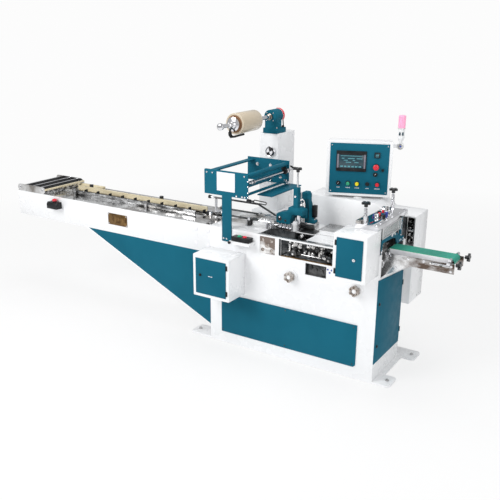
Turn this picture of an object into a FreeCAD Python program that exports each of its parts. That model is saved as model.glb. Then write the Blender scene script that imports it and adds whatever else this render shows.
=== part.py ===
import FreeCAD, Part
import math
import os
import re
import Sketcher

# Horizontal flow wrapper. X runs with the product from infeed to discharge, the operator stands at -Y,
# Z is up, and the origin is the centre of the main cabinet's footprint at floor level. Sizes in mm.

SIZES = {
    # floor frame and main cabinet
    "deck_height": 900, "cabinet_length": 1318, "cabinet_depth": 458, "base_plate": 12,
    "base_overhang": 31, "base_rear_reach": 164, "toe_width": 150, "toe_infeed": 194,
    "toe_discharge": 122, "toe_round": 28, "anchor_bore": 14, "anchor_inset": 42, "seat_gap": 0.3,
    # openings in the cabinet
    "window_start": -60, "window_length": 393, "window_drop": 10, "window_height": 119,
    "window_back": 71, "side_window_start": -231, "side_window_length": 124,
    "side_window_height": 125, "side_window_depth": 70, "low_window_start": 133,
    "low_window_length": 158, "low_window_drop": 142, "low_window_height": 84, "low_window_depth": 40,
    "slot_start": -250, "slot_length": 355, "slot_edge": 24, "slot_width": 173, "slot_depth": 120,
    "fin_slot_length": 560, "fin_slot_width": 14, "chamber_length": 190, "chamber_wall": 39,
    "chamber_depth": 160, "locker_margin": 34, "locker_depth": 300, "deck_plate_start": 60,
    "deck_plate_margin": 39, "deck_plate_front": 94,
    # sheet metal panels and doors
    "panel_gauge": 6, "panel_inset_infeed": 104, "panel_inset_discharge": 124, "panel_low": 87,
    "panel_height": 306, "panel_chamfer": 14, "door_gauge": 5, "door_lap": 5, "hinge_pin": 6,
    "hinge_length": 34, "hinge_leaf": 12, "hinge_offset": 4, "end_door_low": 140,
    "end_door_drop": 166, "end_door_slope": 54, "end_door_rear_inset": 9,
    "left_box_length": 307, "left_box_reach": 211, "left_box_gap": 34, "left_box_drop": 160,
    "right_box_length": 224, "right_box_reach": 218, "right_box_drop": 130,
    "box_border": 29, "box_back": 26,
    # hand wheels
    "handwheel_drop": 257, "handwheel_start": 28, "handwheel_pitch": 486, "boss_width": 95,
    "boss_depth": 14, "handwheel_width": 72, "handwheel_depth": 28, "handwheel_shaft": 20,
    "moving_gap": 5, "running_fit": 0.1,
    # fin-seal wheels behind the window
    "wheel_start": 0, "wheel_pitch": 120, "wheel_width": 56, "wheel_half_gap": 31, "wheel_shaft": 16,
    "wheel_thickness": 30,
    # rear housing, column and film reel
    "rear_gap": 53, "rear_box_depth": 252, "rear_box_low": 410, "rear_box_overhang": 41,
    "rear_step_start": -130, "rear_low_rise": 15, "rear_rise": 190, "rear_fall": 55,
    "rear_fall_inset": 300, "rear_fall_length": 70, "rear_shelf_depth": 76, "rear_shelf_margin": 28,
    "rear_shelf_height": 200,
    "drive_bay_length": 74, "drive_bay_height": 222, "drive_bay_depth": 110, "column_inset_infeed": 67,
    "column_width": 162, "column_depth": 254, "column_inset": 68, "column_height": 596, "dial_width": 60,
    "dial_drop": 136, "dial_depth": 14, "bearing_width": 120, "bearing_foot": 38, "bearing_depth": 140,
    "bearing_rise": 125, "bearing_bulb": 102, "bearing_neck": 88, "reel_offset": 11,
    "reel_shaft_width": 28, "mandrel_width": 75.4, "roll_width": 148, "roll_length": 255,
    "roll_setback": 227, "hub_width": 86, "hub_depth": 18, "shaft_nose": 185, "shaft_grip": 90,
    # film guide frame
    "frame_gauge": 8, "frame_overhang": 38, "frame_width": 369, "frame_rise": 238, "frame_height": 180,
    "frame_round": 10, "post_start": 151, "post_width": 80, "post_overlap": 97, "flat_bar_width": 50,
    "flat_bar_gauge": 10, "round_bar_width": 34, "thin_bar_width": 20, "bar_inset": 24,
    "idler_width": 30, "idler_journal": 12, "idler_drop": 86, "idler_inset": 40, "apron_width": 120,
    "apron_reach": 440, "apron_lap": 30, "apron_tail": 30,
    # infeed conveyor
    "infeed_length": 2081, "infeed_width": 458, "infeed_drop": 213, "sheet_gauge": 4, "deck_gauge": 3,
    "chain_slot": 48, "chain_width": 14, "chain_height": 10, "chain_wheel": 110,
    "chain_end_inset": 75, "chain_rise": 2, "lug_length": 8, "lug_width": 30, "lug_height": 34,
    "lug_pitch": 140, "lug_start": 322, "track_width": 18, "track_height": 9,
    "cross_bar": 16, "rail_half_gap": 70, "rail_width": 16, "rail_height": 35, "rail_tail": 440,
    "rail_inset": 241, "clamp_width": 24, "clamp_head": 34, "clamp_height": 52, "clamp_start": 130,
    "clamp_end": 480, "end_box_length": 342, "end_box_height": 57, "slat_width": 17,
    "slat_height": 10, "slat_pitch": 33, "slat_rise": 24, "end_bar_width": 14,
    "end_bar_height": 44, "bracket_reach": 1241, "bracket_low": 118, "bracket_skin": 10,
    "estop_start": 417, "estop_length": 122, "estop_reach": 60, "estop_drop": 95, "estop_height": 56,
    "estop_cap": 38,
    # film former
    "rod_width": 14, "rod_rise": 50, "rod_half_gap": 77, "rod_length": 530, "rod_end": 250,
    "hold_rod_inset": 12, "hold_rod_length": 382, "hold_rod_rise": 147, "hold_rod_drop": 64,
    "hold_rod_bend": 150, "stand_width": 28,
    "stand_start": 415, "bridge_bar": 14, "former_length": 370, "former_end": 215,
    "former_half_width": 62, "former_height": 66, "former_mouth": 24,
    # fin-seal casting
    "casting_front": 35, "casting_back": 45, "arm_reach": 213, "arm_rise": 44, "arm_height": 74,
    "body_start": 116, "body_length": 112, "body_height": 127, "head_start": -76, "head_front": 72,
    "head_width": 60, "head_length": 59, "head_nose": 34, "head_rise": 266, "foot_length": 112,
    "foot_height": 18, "plinth_height": 46, "plinth_lap": 6, "guide_post_length": 36,
    "guide_post_inset": 29, "guide_post_height": 142, "guide_post_width": 42, "motor_length": 28,
    "motor_width": 30, "motor_height": 88, "cylinder_width": 34,
    "cylinder_start": 60,
    # rotary end seal
    "jaw_inset": 109, "line_rise": 11, "jaw_radius": 67, "jaw_gap": 6, "jaw_clearance": 27, "jaw_bar": 44,
    "jaw_length": 220,
    "jaw_core": 62, "jaw_shaft": 30, "jaw_groove": 2.4, "jaw_groove_count": 8, "jaw_plate": 18,
    "jaw_plate_length": 132, "seal_bridge_inset": 162, "seal_bridge_end": 3, "seal_bridge_front": 46,
    "seal_bridge_back": 6, "seal_bridge_height": 30, "bridge_cut_width": 60, "screw_width": 12,
    "sleeve_width": 26, "sleeve_height": 50, "screw_height": 108, "screw_front": 21,
    "screw_back": 19, "screw_inset": 104, "exit_frame_inset": 16, "exit_frame_gauge": 8,
    "exit_arch_height": 68, "exit_cross_height": 100, "exit_post_start": 120, "exit_post_width": 40,
    "exit_rim": 20, "exit_leg": 24, "guard_gauge": 4, "guard_height": 75, "guard_front": 200,
    # discharge conveyor
    "side_plate_gauge": 4, "side_plate_half_gap": 95, "side_plate_reach": 436, "side_plate_height": 65,
    "side_plate_drop": 76, "side_plate_lap": 34, "side_leg_reach": 161, "belt_width": 118,
    "belt_gauge": 3, "belt_roller": 44, "belt_lead": 6, "belt_pitch": 392, "roller_shaft": 14,
    "adjust_slot_reach": 278, "adjust_slot_length": 131, "adjust_slot_height": 14,
    "tension_screw": 10, "tension_length": 8,
    # star knobs
    "knob_width": 58, "knob_height": 30,
    # control box, operator panel and signal lamp
    "start_box_inset": 224, "start_box_length": 150, "start_box_reach": 60, "start_box_height": 32,
    "start_box_drop": 66, "start_bracket_height": 20, "start_bracket_extra": 12, "hmi_start": 235,
    "hmi_setback": 68, "hmi_turn_deg": 20, "hmi_rise": 15, "hmi_box_width": 440, "hmi_box_height": 397,
    "hmi_box_depth": 100, "hmi_face_width": 414, "hmi_face_height": 360, "hmi_face_gauge": 3,
    "screen_width": 212, "screen_height": 145, "screen_depth": 6, "button_width": 26,
    "button_depth": 14, "support_width": 92, "lamp_width": 50, "lamp_lens_height": 84,
    "lamp_body_height": 70, "lamp_neck": 16, "lamp_reach": 56, "lamp_disc_drop": 34,
}

WORD = re.compile(r"[a-z]+(?:_[a-z]+)*")
ROLES = {"x": "YZ_Plane", "y": "XZ_Plane", "z": "XY_Plane"}
FACING = {}

doc = FreeCAD.newDocument("FlowWrapper")
sheet = doc.addObject("Spreadsheet::Sheet", "Sizes")
for row, (name, amount) in enumerate(SIZES.items(), 1):
    sheet.set("A%d" % row, name)
    sheet.set("B%d" % row, str(amount))
    sheet.setAlias("B%d" % row, name)
doc.recompute()


def formula(text):
    """A formula with every size name in it pointing at the sheet."""
    return WORD.sub(lambda m: "Sizes." + m.group(0) if m.group(0) in SIZES else m.group(0), str(text))


def body(label, x="0", y="0", z="0"):
    item = doc.addObject("PartDesign::Body", label)
    item.Label = label
    item.AllowCompound = True
    for axis, text in zip("xyz", (x, y, z)):
        item.setExpression(".Placement.Base." + axis, formula(text))
    return item


def sketch(owner, axis, at="0", u="0", v="0"):
    """An empty sketch square to an axis of the body, its own origin moved to (u, v) in its plane."""
    plane = [item for item in owner.Origin.OriginFeatures if item.Role == ROLES[axis]][0]
    item = owner.newObject("Sketcher::SketchObject", owner.Name + "_outline")
    item.AttachmentSupport = (plane, [""])
    item.MapMode = "FlatFace"
    level = "-(%s)" % at if axis == "y" else at
    for key, text in zip("xyz", (u, v, level)):
        item.setExpression("AttachmentOffset.Base." + key, formula(text))
    FACING[item.Name] = axis
    return item


def pin_point(item, index, point, u, v, start):
    for kind, text, value in (("DistanceX", u, start.x), ("DistanceY", v, start.y)):
        number = item.addConstraint(Sketcher.Constraint(kind, index, point, value))
        item.setExpression("Constraints[%d]" % number, formula(text))


def polygon(item, *corners):
    first = item.GeometryCount
    count = len(corners)
    turn = 2 * math.pi / count
    spots = [FreeCAD.Vector(10 * math.cos(turn * n), 10 * math.sin(turn * n), 0) for n in range(count)]
    for n in range(count):
        item.addGeometry(Part.LineSegment(spots[n], spots[(n + 1) % count]), False)
    for n in range(count):
        item.addConstraint(Sketcher.Constraint("Coincident", first + n, 2, first + (n + 1) % count, 1))
    for n, (u, v) in enumerate(corners):
        pin_point(item, first + n, 1, u, v, spots[n])
    return item


def rectangle(item, left, low, width, height):
    right = "%s + %s" % (left, width)
    high = "%s + %s" % (low, height)
    return polygon(item, (left, low), (right, low), (right, high), (left, high))


def circle(item, u, v, width):
    index = item.addGeometry(Part.Circle(FreeCAD.Vector(0, 0, 0), FreeCAD.Vector(0, 0, 1), 5), False)
    pin_point(item, index, 3, u, v, FreeCAD.Vector(0, 0, 0))
    number = item.addConstraint(Sketcher.Constraint("Diameter", index, 10))
    item.setExpression("Constraints[%d]" % number, formula(width))
    return item


def amount(text):
    """What a formula comes to now, worked out in a spare cell of the sheet."""
    sheet.set("D1", "=" + text)
    sheet.recompute()
    result = sheet.get("D1")
    sheet.clear("D1")
    return float(result)


def loop(item, start, end, level, radius):
    """A flat-sided loop: two half circles about (start, level) and (end, level) joined by lines."""
    a, b, c, r = amount(start), amount(end), amount(level), amount(radius)
    up = FreeCAD.Vector(0, 0, 1)
    left = FreeCAD.Vector(a, c, 0)
    right = FreeCAD.Vector(b, c, 0)
    rise = FreeCAD.Vector(0, r, 0)
    half = math.pi / 2
    tail = item.addGeometry(Part.ArcOfCircle(Part.Circle(left, up, r), half, 3 * half), False)
    nose = item.addGeometry(Part.ArcOfCircle(Part.Circle(right, up, r), -half, half), False)
    low = item.addGeometry(Part.LineSegment(left - rise, right - rise), False)
    top = item.addGeometry(Part.LineSegment(right + rise, left + rise), False)
    joints = ((tail, 2, low, 1), (low, 2, nose, 1), (nose, 2, top, 1), (top, 2, tail, 1))
    for one, end_one, two, end_two in joints:
        item.addConstraint(Sketcher.Constraint("Tangent", one, end_one, two, end_two))
    pin_point(item, tail, 3, start, level, left)
    pin_point(item, nose, 3, end, level, right)
    number = item.addConstraint(Sketcher.Constraint("Radius", tail, r))
    item.setExpression("Constraints[%d]" % number, formula(radius))
    return item


def feature(owner, kind):
    item = owner.newObject("PartDesign::" + kind, owner.Name + "_" + kind.lower())
    owner.Tip = item
    return item


def pad(owner, profile, length, back=False):
    """Material from the sketch towards the plus side of its axis, or the minus side when back is set."""
    item = feature(owner, "Pad")
    item.Profile = profile
    item.setExpression("Length", formula(length))
    item.Reversed = (FACING[profile.Name] == "y") != back
    profile.Visibility = False
    return item


def pocket(owner, profile, length, back=False):
    item = feature(owner, "Pocket")
    item.Profile = profile
    item.setExpression("Length", formula(length))
    item.Reversed = (FACING[profile.Name] != "y") != back
    return item


def block(owner, axis, at, left, low, width, height, depth):
    return pad(owner, rectangle(sketch(owner, axis, at), left, low, width, height), depth)


def rod(owner, axis, at, u, v, width, length):
    return pad(owner, circle(sketch(owner, axis, at), u, v, width), length)


def row(owner, original, profile, line, length, count):
    item = feature(owner, "LinearPattern")
    item.Originals = [original]
    item.Direction = (profile, [line])
    item.setExpression("Length", formula(length))
    item.setExpression("Occurrences", formula(count))
    owner.Tip = item
    return item


def ring(owner, original, profile, count):
    item = feature(owner, "PolarPattern")
    item.Originals = [original]
    item.Axis = (profile, ["N_Axis"])
    item.Angle = 360
    item.setExpression("Occurrences", formula(count))
    owner.Tip = item
    return item


def round_edges(owner, radius, wanted):
    doc.recompute()
    base = owner.Tip
    box = base.Shape.BoundBox
    names = ["Edge%d" % n for n, edge in enumerate(base.Shape.Edges, 1) if wanted(edge, box)]
    item = feature(owner, "Fillet")
    item.Base = (base, names)
    item.setExpression("Radius", formula(radius))
    return item


def along(edge, axis):
    """Whether a straight edge runs along one axis."""
    one = edge.Vertexes[0].Point
    two = edge.Vertexes[-1].Point
    shift = [abs(getattr(two, key) - getattr(one, key)) for key in "xyz"]
    return shift["xyz".index(axis)] > 0.5 and sum(shift) - max(shift) < 1e-6


def star_knob(owner, axis, at, u, v, back=False):
    """A hub with a five-lobed crown, rising from its screw's end."""
    profile = sketch(owner, axis, at, u, v)
    pad(owner, circle(profile, "0", "0", "knob_width * 0.42"), "knob_height", back)
    crown_at = "%s %s knob_height * 0.55" % (at, "-" if back else "+")
    crown = sketch(owner, axis, crown_at, u, v)
    lobe_plan = circle(crown, "knob_width * 0.33", "0", "knob_width * 0.34")
    lobe = pad(owner, lobe_plan, "knob_height * 0.45", back)
    ring(owner, lobe, crown, "5")


HALF = "cabinet_length / 2"
CHAMBER_WIDTH = "(cabinet_depth - 2 * chamber_wall)"
JAW_RISE = "(jaw_radius + jaw_gap / 2)"
BRIDGE_RISE = "(line_rise + 2 * jaw_radius + jaw_gap / 2 + jaw_clearance)"
RIGHT_BOX_HEIGHT = "(right_box_drop + %s)" % BRIDGE_RISE
FRONT = "cabinet_depth / 2"
LEFT_BOX_LOW = "(panel_low + panel_height + left_box_gap)"
LEFT_BOX_HEIGHT = "(deck_height - left_box_drop - %s)" % LEFT_BOX_LOW
REAR_LOW_TOP = "(deck_height + rear_low_rise)"
REAR_TOP = "(deck_height + rear_low_rise + rear_rise)"
COLUMN_START = "(column_inset_infeed - cabinet_length / 2)"
JAW_CENTRE = "(cabinet_length / 2 - jaw_inset)"
SIDE_PLATE_START = "(cabinet_length / 2 - side_plate_lap)"
SIDE_PLATE_END = "(cabinet_length / 2 + side_plate_reach)"
END_DOOR_HEIGHT = "(deck_height - end_door_low - end_door_drop)"
END_DOOR_REAR = "(deck_height - end_door_low - end_door_drop - end_door_slope)"
BRACKET_DROP = "(deck_height - infeed_drop - bracket_low)"

# ---- floor frame: one flat plate with a bolting toe at each corner
base = body("base_frame")
plan = sketch(base, "z")
near = "cabinet_length / 2 + base_overhang"
out_in = "-cabinet_length / 2 - toe_infeed"
out_dis = "cabinet_length / 2 + toe_discharge"
front_y = "-cabinet_depth / 2"
rear_y = "cabinet_depth / 2 + base_rear_reach"
front_in = front_y + " + toe_width"
rear_in = rear_y + " - toe_width"
polygon(plan, (out_in, front_y), (out_dis, front_y), (out_dis, front_in), (near, front_in),
        (near, rear_in), (out_dis, rear_in), (out_dis, rear_y), (out_in, rear_y), (out_in, rear_in),
        ("-(%s)" % near, rear_in), ("-(%s)" % near, front_in), (out_in, front_in))
pad(base, plan, "base_plate")
round_edges(base, "toe_round", lambda e, b: along(e, "z") and (
    e.Vertexes[0].X < b.XMin + 1 or e.Vertexes[0].X > b.XMax - 1))
holes = sketch(base, "z")
for x in (out_in + " + anchor_inset", out_dis + " - anchor_inset"):
    for y in (front_y + " + toe_width / 2", rear_y + " - toe_width / 2"):
        circle(holes, x, y, "anchor_bore")
pocket(base, holes, "base_plate")

# ---- main cabinet, its local origin on the deck over the middle of the footprint
cabinet = body("main_cabinet", z="deck_height")
block(cabinet, "z", "base_plate - deck_height", "-" + HALF, "-" + FRONT, "cabinet_length",
      "cabinet_depth", "deck_height - base_plate")
cuts = (
    ("window_start", "-window_drop - window_height", "window_length", "window_height",
     "window_back + cabinet_depth / 2"),
    ("side_window_start", "-window_drop - side_window_height", "side_window_length",
     "side_window_height", "side_window_depth"),
    ("low_window_start", "-low_window_drop - low_window_height", "low_window_length",
     "low_window_height", "low_window_depth"),
)
for left, low, width, height, depth in cuts:
    pocket(cabinet, rectangle(sketch(cabinet, "y", "-" + FRONT), left, low, width, height), depth)
slot = rectangle(sketch(cabinet, "z"), "slot_start", "slot_edge - cabinet_depth / 2", "slot_length",
                 "slot_width")
pocket(cabinet, slot, "slot_depth", back=True)
fin_slot = rectangle(sketch(cabinet, "z"), "slot_start", "-fin_slot_width / 2", "fin_slot_length",
                     "fin_slot_width")
pocket(cabinet, fin_slot, "window_drop + window_height / 2", back=True)
chamber = rectangle(sketch(cabinet, "x", HALF), "-%s / 2" % CHAMBER_WIDTH, "-chamber_depth",
                    CHAMBER_WIDTH, "chamber_depth")
pocket(cabinet, chamber, "chamber_length", back=True)
locker = rectangle(sketch(cabinet, "x", HALF), "locker_margin - cabinet_depth / 2",
                   "end_door_low + locker_margin - deck_height", "cabinet_depth - 2 * locker_margin",
                   END_DOOR_REAR + " - 2 * locker_margin")
pocket(cabinet, locker, "locker_depth", back=True)

panel = body("front_panel", "-cabinet_length / 2 + panel_inset_infeed", "-cabinet_depth / 2", "panel_low")
panel_length = "cabinet_length - panel_inset_infeed - panel_inset_discharge"
panel_face = sketch(panel, "y", "-panel_gauge")
polygon(panel_face, ("0", "0"), (panel_length + " - panel_chamfer", "0"), (panel_length, "panel_chamfer"),
        (panel_length, "panel_height"), ("0", "panel_height"))
pad(panel, panel_face, "panel_gauge")

# ---- end door, hung at its rear edge
door = body("end_door", HALF + " + seat_gap", front_y, "end_door_low")
face = sketch(door, "x")
door_width = "cabinet_depth - end_door_rear_inset"
polygon(face, ("0", "0"), (door_width, "0"), (door_width, END_DOOR_REAR),
        ("0", END_DOOR_HEIGHT))
pad(door, face, "door_gauge")

# ---- box housings on the operator's side, each with a lapped door
left_box = body("left_box", "-" + HALF, front_y + " - left_box_reach", LEFT_BOX_LOW)
block(left_box, "z", "0", "0", "0", "left_box_length", "left_box_reach", LEFT_BOX_HEIGHT)
pocket(left_box, rectangle(sketch(left_box, "y"), "box_border", "box_border",
                           "left_box_length - 2 * box_border", LEFT_BOX_HEIGHT + " - 2 * box_border"),
       "left_box_reach - box_back")
right_box = body("right_box", HALF + " - right_box_length", front_y + " - right_box_reach",
                 "deck_height - right_box_drop")
block(right_box, "z", "0", "0", "0", "right_box_length", "right_box_reach", RIGHT_BOX_HEIGHT)
pocket(right_box, rectangle(sketch(right_box, "y"), "box_border", "box_border",
                            "right_box_length - 2 * box_border", RIGHT_BOX_HEIGHT + " - 2 * box_border"),
       "right_box_reach - box_back")
lap = "box_border - door_lap"
left_door = body("left_box_door", "-%s + %s" % (HALF, lap), front_y + " - left_box_reach - seat_gap",
                 LEFT_BOX_LOW + " + " + lap)
block(left_door, "y", "-door_gauge", "0", "0", "left_box_length - 2 * (%s)" % lap,
      "%s - 2 * (%s)" % (LEFT_BOX_HEIGHT, lap), "door_gauge")
right_door = body("right_box_door", "%s - right_box_length + %s" % (HALF, lap),
                  front_y + " - right_box_reach - seat_gap", "deck_height - right_box_drop + " + lap)
block(right_door, "y", "-door_gauge", "0", "0", "right_box_length - 2 * (%s)" % lap,
      "%s - 2 * (%s)" % (RIGHT_BOX_HEIGHT, lap), "door_gauge")

# ---- hinges: a leaf on the housing and a barrel beside the door's edge, two to a door
hinges = body("door_hinges")
pin_out = "seat_gap + door_gauge + 1"
left_edge = "-%s + left_box_length - (%s)" % (HALF, lap)
right_edge = "%s - right_box_length + %s" % (HALF, lap)


def hinge_pair(low, height, outline_leaf, centre):
    for level in ("%s + %s * 0.14" % (low, height), "%s + %s * 0.86 - hinge_length" % (low, height)):
        pad(hinges, polygon(sketch(hinges, "z", level), *outline_leaf), "hinge_length")
        pad(hinges, circle(sketch(hinges, "z", level), centre[0], centre[1], "hinge_pin"), "hinge_length")


def box_leaf(edge, side, reach):
    """Leaf outline and barrel centre beside a door edge; side is + or - away from the door."""
    face_y = "%s - %s" % (front_y, reach)
    pin_y = "%s - (%s)" % (face_y, pin_out)
    inner = "%s %s 1" % (edge, side)
    outer = "%s %s hinge_leaf" % (edge, side)
    centre = ("%s %s hinge_offset" % (edge, side), pin_y)
    return ((inner, pin_y), (outer, pin_y), (outer, face_y), (inner, face_y)), centre


leaf, centre = box_leaf(left_edge, "+", "left_box_reach")
hinge_pair(LEFT_BOX_LOW, LEFT_BOX_HEIGHT, leaf, centre)
leaf, centre = box_leaf(right_edge, "-", "right_box_reach")
hinge_pair("(deck_height - right_box_drop)", RIGHT_BOX_HEIGHT, leaf, centre)
end_pin_x = "%s + %s" % (HALF, pin_out)
end_edge = "%s - end_door_rear_inset" % FRONT
leaf = ((HALF, end_edge + " + 1"), (end_pin_x, end_edge + " + 1"),
        (end_pin_x, end_edge + " + 1 + hinge_leaf"), (HALF, end_edge + " + 1 + hinge_leaf"))
hinge_pair("end_door_low", END_DOOR_REAR, leaf, (end_pin_x, end_edge + " + hinge_offset"))

# ---- hand wheels on round bosses
boss_plan = sketch(cabinet, "y", front_y + " - boss_depth")
for centre_x in ("handwheel_start", "handwheel_start + handwheel_pitch"):
    circle(boss_plan, centre_x, "-handwheel_drop", "boss_width")
    circle(boss_plan, centre_x, "-handwheel_drop", "handwheel_shaft + running_fit")
pad(cabinet, boss_plan, "boss_depth")
for name, centre_x in (("handwheel_left", "handwheel_start"),
                       ("handwheel_right", "handwheel_start + handwheel_pitch")):
    wheel = body(name, centre_x, front_y, "deck_height - handwheel_drop")
    front_face = "-boss_depth - moving_gap - handwheel_depth"
    rod(wheel, "y", front_face, "0", "0", "handwheel_width", "handwheel_depth")
    flute_plan = sketch(wheel, "y", front_face)
    circle(flute_plan, "handwheel_width * 0.56", "0", "handwheel_width * 0.3")
    flute = pocket(wheel, flute_plan, "handwheel_depth")
    ring(wheel, flute, flute_plan, "6")
    dish = circle(sketch(wheel, "y", front_face), "0", "0", "handwheel_width * 0.5")
    pocket(wheel, dish, "handwheel_depth * 0.3")
    rod(wheel, "y", "-boss_depth - moving_gap - handwheel_depth * 0.2", "0", "0", "handwheel_shaft",
        "boss_depth + moving_gap + handwheel_depth * 0.2 - seat_gap")

# ---- fin-seal wheels on upright shafts behind the long window, and the block behind the short one
wheels = body("seal_wheels", z="deck_height")
chamber_floor = "-window_drop - window_height"
for side in ("wheel_half_gap", "-wheel_half_gap"):
    for number in range(3):
        centre_x = "wheel_start + %d * wheel_pitch" % number
        rod(wheels, "z", chamber_floor, centre_x, side, "wheel_shaft",
            "window_height - wheel_thickness - window_drop + 1")
        rod(wheels, "z", "-2 * window_drop - wheel_thickness", centre_x, side, "wheel_width",
            "wheel_thickness")
block(wheels, "z", "-window_drop - side_window_height", "side_window_start + 16",
      "side_window_depth - cabinet_depth / 2 - 38", "side_window_length - 32", "38",
      "side_window_height * 0.8")

deck_plate = body("deck_plate", z="deck_height")
block(deck_plate, "z", "0", "deck_plate_start", "deck_plate_front",
      HALF + " - chamber_length - deck_plate_margin - deck_plate_start",
      FRONT + " + rear_gap - deck_plate_front", "deck_gauge")
block(deck_plate, "z", "0", "head_start - plinth_lap", "head_front - plinth_lap",
      "foot_length + 2 * plinth_lap", "head_width + 2 * plinth_lap", "plinth_height")

# ---- rear housing: long low part, raised middle, drive bay facing the end seal, shelf for the column
rear = body("rear_box", y=FRONT + " + rear_gap")
silhouette = sketch(rear, "y")
rear_left = COLUMN_START + " - rear_shelf_margin"
rear_right = HALF + " + rear_box_overhang"
rear_fall = REAR_TOP + " - rear_fall"
fall_start = rear_right + " - rear_fall_inset"
polygon(silhouette, (rear_left, "rear_box_low"), (rear_right, "rear_box_low"),
        (rear_right, rear_fall), (fall_start + " + rear_fall_length", rear_fall), (fall_start, REAR_TOP),
        ("rear_step_start", REAR_TOP), ("rear_step_start", REAR_LOW_TOP), (rear_left, REAR_LOW_TOP))
pad(rear, silhouette, "rear_box_depth")
block(rear, "y", "rear_box_depth", rear_left, REAR_LOW_TOP + " - rear_shelf_height",
      "column_width + 2 * rear_shelf_margin", "rear_shelf_height", "rear_shelf_depth")
block(rear, "y", "-rear_gap", "-cabinet_length * 0.45", "rear_box_low + 30", "cabinet_length * 0.9",
      "deck_height - rear_box_low - 60", "rear_gap")
bay = rectangle(sketch(rear, "y"), rear_right + " - drive_bay_length - 10",
                rear_fall + " - drive_bay_height", "drive_bay_length",
                "drive_bay_height - 12")
pocket(rear, bay, "drive_bay_depth")

# ---- column, dial, bearing block, reel
column_y = FRONT + " + rear_gap + column_inset"
column = body("column", COLUMN_START, column_y, REAR_LOW_TOP)
block(column, "z", "0", "0", "0", "column_width", "column_depth", "column_height")
reel_x = COLUMN_START + " + column_width / 2 + reel_offset"
reel_z = REAR_LOW_TOP + " + column_height + bearing_rise"
bearing = body("bearing_block", reel_x, column_y + " - 8", REAR_LOW_TOP + " + column_height")
block(bearing, "y", "0", "-bearing_width / 2", "0", "bearing_width", "bearing_foot", "bearing_depth")
block(bearing, "y", "0", "-bearing_neck / 2", "bearing_foot", "bearing_neck",
      "bearing_rise - bearing_foot", "bearing_depth * 0.7")
rod(bearing, "y", "0", "0", "bearing_rise", "bearing_bulb", "bearing_depth * 0.78")
bore = circle(sketch(bearing, "y"), "0", "bearing_rise", "reel_shaft_width + running_fit")
pocket(bearing, bore, "shaft_grip + moving_gap")

roll_front = "-(roll_setback + roll_length)"
shaft = body("reel_shaft", reel_x, column_y + " - 8", reel_z)
rod(shaft, "y", roll_front + " - shaft_nose", "0", "0", "reel_shaft_width",
    "shaft_nose + roll_length + roll_setback + shaft_grip")
rod(shaft, "y", roll_front + " - hub_depth", "0", "0", "hub_width", "hub_depth")
rod(shaft, "y", roll_front, "0", "0", "mandrel_width", "roll_length")
rod(shaft, "y", "-roll_setback", "0", "0", "hub_width", "hub_depth / 2")
rod(shaft, "y", roll_front + " - shaft_nose", "0", "0", "reel_shaft_width * 1.6", "20")
roll = body("film_roll", reel_x, column_y + " - 8", reel_z)
roll_end = circle(sketch(roll, "y", roll_front + " + seat_gap"), "0", "0", "roll_width")
circle(roll_end, "0", "0", "mandrel_width + 2 * running_fit")
pad(roll, roll_end, "roll_length - 2 * seat_gap")

# ---- film guide frame: two upright plates joined by bars, on a post at the front
frame_low = "deck_height + frame_rise"
frame_x = "-%s - frame_overhang" % HALF
frame_front = body("frame_front", frame_x, front_y + " - frame_gauge", frame_low)
plate = sketch(frame_front, "y")
rectangle(plate, "0", "0", "frame_width", "frame_height")
pad(frame_front, plate, "frame_gauge")
block(frame_front, "y", "0", "post_start", "-frame_rise - post_overlap", "post_width",
      "frame_rise + post_overlap + 6", "frame_gauge")
round_edges(frame_front, "frame_round", lambda e, b: along(e, "y") and e.Vertexes[0].Z > b.ZMax - 1)
frame_rear = body("frame_rear", frame_x, column_y + " - frame_gauge", frame_low)
block(frame_rear, "y", "0", "0", "0", "frame_width", "frame_height", "frame_gauge")
span = "cabinet_depth + rear_gap + column_inset - frame_gauge"
idler_x = "frame_width - idler_inset"
idler_z = "frame_height - idler_drop"
for plate_body in (frame_front, frame_rear):
    bore = circle(sketch(plate_body, "y"), idler_x, idler_z, "idler_journal + running_fit")
    pocket(plate_body, bore, "frame_gauge")
bars = body("frame_bars", frame_x, front_y, frame_low)
block(bars, "y", "0", "bar_inset / 2", "frame_height - bar_inset", "flat_bar_width", "flat_bar_gauge", span)
rod(bars, "y", "0", "frame_width - bar_inset", "frame_height - bar_inset", "round_bar_width", span)
rod(bars, "y", "0", "frame_width - bar_inset", "bar_inset", "thin_bar_width", span)
rod(bars, "y", "0", "frame_width * 0.56", "bar_inset", "thin_bar_width", span)
apron_front = span + " + frame_gauge + apron_tail - apron_reach"
block(bars, "z", "-frame_gauge", "frame_width - apron_lap", apron_front, "apron_width", "apron_reach",
      "frame_gauge")
idler = body("idler_roller", "%s + %s" % (frame_x, idler_x), front_y, "%s + %s" % (frame_low, idler_z))
rod(idler, "y", "moving_gap", "0", "0", "idler_width", span + " - 2 * moving_gap")
rod(idler, "y", "-frame_gauge", "0", "0", "idler_journal", span + " + 2 * frame_gauge")

# ---- infeed trough, closed below and at both ends, under a slotted deck
trough = body("infeed_trough", "-%s - infeed_length" % HALF, "0", "deck_height - infeed_drop")
block(trough, "z", "0", "0", "-infeed_width / 2", "infeed_length", "infeed_width", "infeed_drop")
inside = rectangle(sketch(trough, "z", "infeed_drop"), "sheet_gauge", "sheet_gauge - infeed_width / 2",
                   "infeed_length - 2 * sheet_gauge", "infeed_width - 2 * sheet_gauge")
pocket(trough, inside, "infeed_drop - sheet_gauge", back=True)
infeed_x = "-%s - infeed_length" % HALF
deck = body("infeed_deck", infeed_x, "0", "deck_height")
for low in ("chain_slot / 2", "-infeed_width / 2"):
    block(deck, "z", "0", "0", low, "infeed_length", "infeed_width / 2 - chain_slot / 2", "deck_gauge")

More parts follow.
